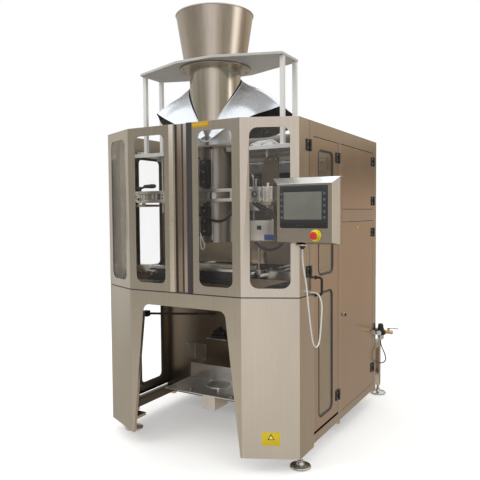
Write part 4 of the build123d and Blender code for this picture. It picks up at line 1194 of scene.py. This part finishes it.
def rails_and_sensors():
    p = Piece("wall_rails", "frame", "white_paint", "cabinet_parts", FITTING)
    p.rod("x", (334, 1762), 8, (60, 600), 1)
    p.boxes(2, 1, ((60, 610), (338, 352), (1700, 1750)), ((60, 610), (338, 352), (1776, 1800)))
    p.box((60, 610), (336, 352), (1650, 1694), 2, 2)
    p.boxes(1.5, 0, *(((x, x + 14), (326, 352), (1750, 1774)) for x in (120, 300, 480, 590)))
    p.done()

    p = Piece("sensor_plate", "frame", ALUMINIUM, FITTING, "blue_plastic", "copper_and_painted_reflection", ZINC)
    p.box((325, 520), (-152, -148), (1275, 1392), 1)
    p.box((372, 400), (-154, -151), (1338, 1362), 0.8, 1)
    p.box((422, 498), (-160, -151), (1279, 1311), 2, 2)
    p.boxes(1.5, 0, ((470, 486), (-156, -151), (1300, 1400)), ((505, 617), (-149, -141), (1318, 1342)),
            ((605, 617), (-149, -100), (1318, 1342)), ((378, 394), (-163, -100), (1060, 1078)))
    p.box((330, 434), (-152, -148), (1141, 1219), 1.5, 3)
    p.rod("z", (386, -156), 5, (1060, 1276), 1, 4, 20)
    p.prism("y", ((368, 1106), (404, 1106), (386, 1044)), (-163, -159))
    p.rod("y", (386, 1196), 6, (-158, -151), 1, 1, 20)
    p.done()
    hoses = [[(420, -250, 1493), (440, -244, 1474), (500, -220, 1446), (556, -200, 1406), (596, -150, 1374),
              (608, -112, 1352)],
             [(396, -244, 1493), (430, -236, 1462), (486, -214, 1428), (540, -196, 1382), (588, -150, 1340),
              (606, -110, 1326)],
             [(374, -168, 1268), (402, -170, 1236), (455, -170, 1222), (508, -168, 1232), (540, -162, 1262),
              (560, -152, 1316)]]
    curve_piece("inner_air_hoses", "frame", "black_hose", hoses, HOSE_RADIUS)

    p = Piece("film_edge_rod", "frame", STEEL, FITTING)
    edge = (92, -195)
    p.rod("z", edge, 2.4, (1262, DECK), 0.5, 0, 16)
    p.rod("z", edge, 6, (1262, 1274), 1, 1, 20)
    p.rod("z", edge, 6, (DECK - 12, DECK), 1, 1, 20)
    p.done()


def shelves_and_base():
    p = Piece("service_shelves", "frame", "frame_steel", RUBBER)
    for p.place in (p.place, MIRROR):
        p.boxes(1, 0, ((352, 614), (-214, 345), (980, 984)), ((352, 614), (-217, -213), (980, 1012)))
        p.box((360, 606), (-208, 338), (983.5, 989), 1.5, 1)
        p.boxes(1, 1, *(((x, x + 8), (-204, 334), (988, 991)) for x in range(366, 606, 20)))
    p.done()
    p = Piece("door_seam_gasket", "frame", RUBBER)
    p.sweep([(-674, -240, 973), (-391, -373, 973), (391, -373, 973), (674, -240, 973)],
            rounded_path((-4, 4), (-2.6, 2.6), 1.5, 3), (0, 0, 1))
    p.done()

    p = Piece("base_wall_fittings", "frame", "stainless_panel", FITTING, ALUMINIUM,
              ZINC, slot="stainless_panel")
    wall = 353
    p.prism("y", rounded_path((-504, -316), (366, 492), 16), (wall - 4, wall), 1)
    p.box((-421, -418), (wall - 5, wall - 3), (372, 488), 0.5, 2)
    p.bolts("y", product((-486, -334), (382, 476)), wall - 4, -1, 4, 3, True)
    p.box((-306, -142), (326, wall), (537, 543), 1, 2)
    p.boxes(4, 1, ((-262, -144), (322, wall), (545, 570)), ((-250, -156), (330, wall), (570, 600)),
            ((-677, -636), (72, 112), (706, 748)))
    p.rod("y", (-203, 604), 20, (326, wall), 2, 1, 28)
    p.done()
    rod = ((-650, 92, 727), (-448, 220, 721), (-246, 348, 715))
    curve_piece("base_black_rod", "frame", FITTING, [rod], 8, order=2)


for draw in (terminal, platform_details, sealer_arm, seal_head, clamp_and_hose, belts, jaws, bag_support,
             film_path, air_unit, cam_lock, cabinet_modules, cylinders_and_guide, deck_things,
             rails_and_sensors, shelves_and_base, window_trims, side_handle, labels, meeting_stiles, hinges,
             feet):
    draw()
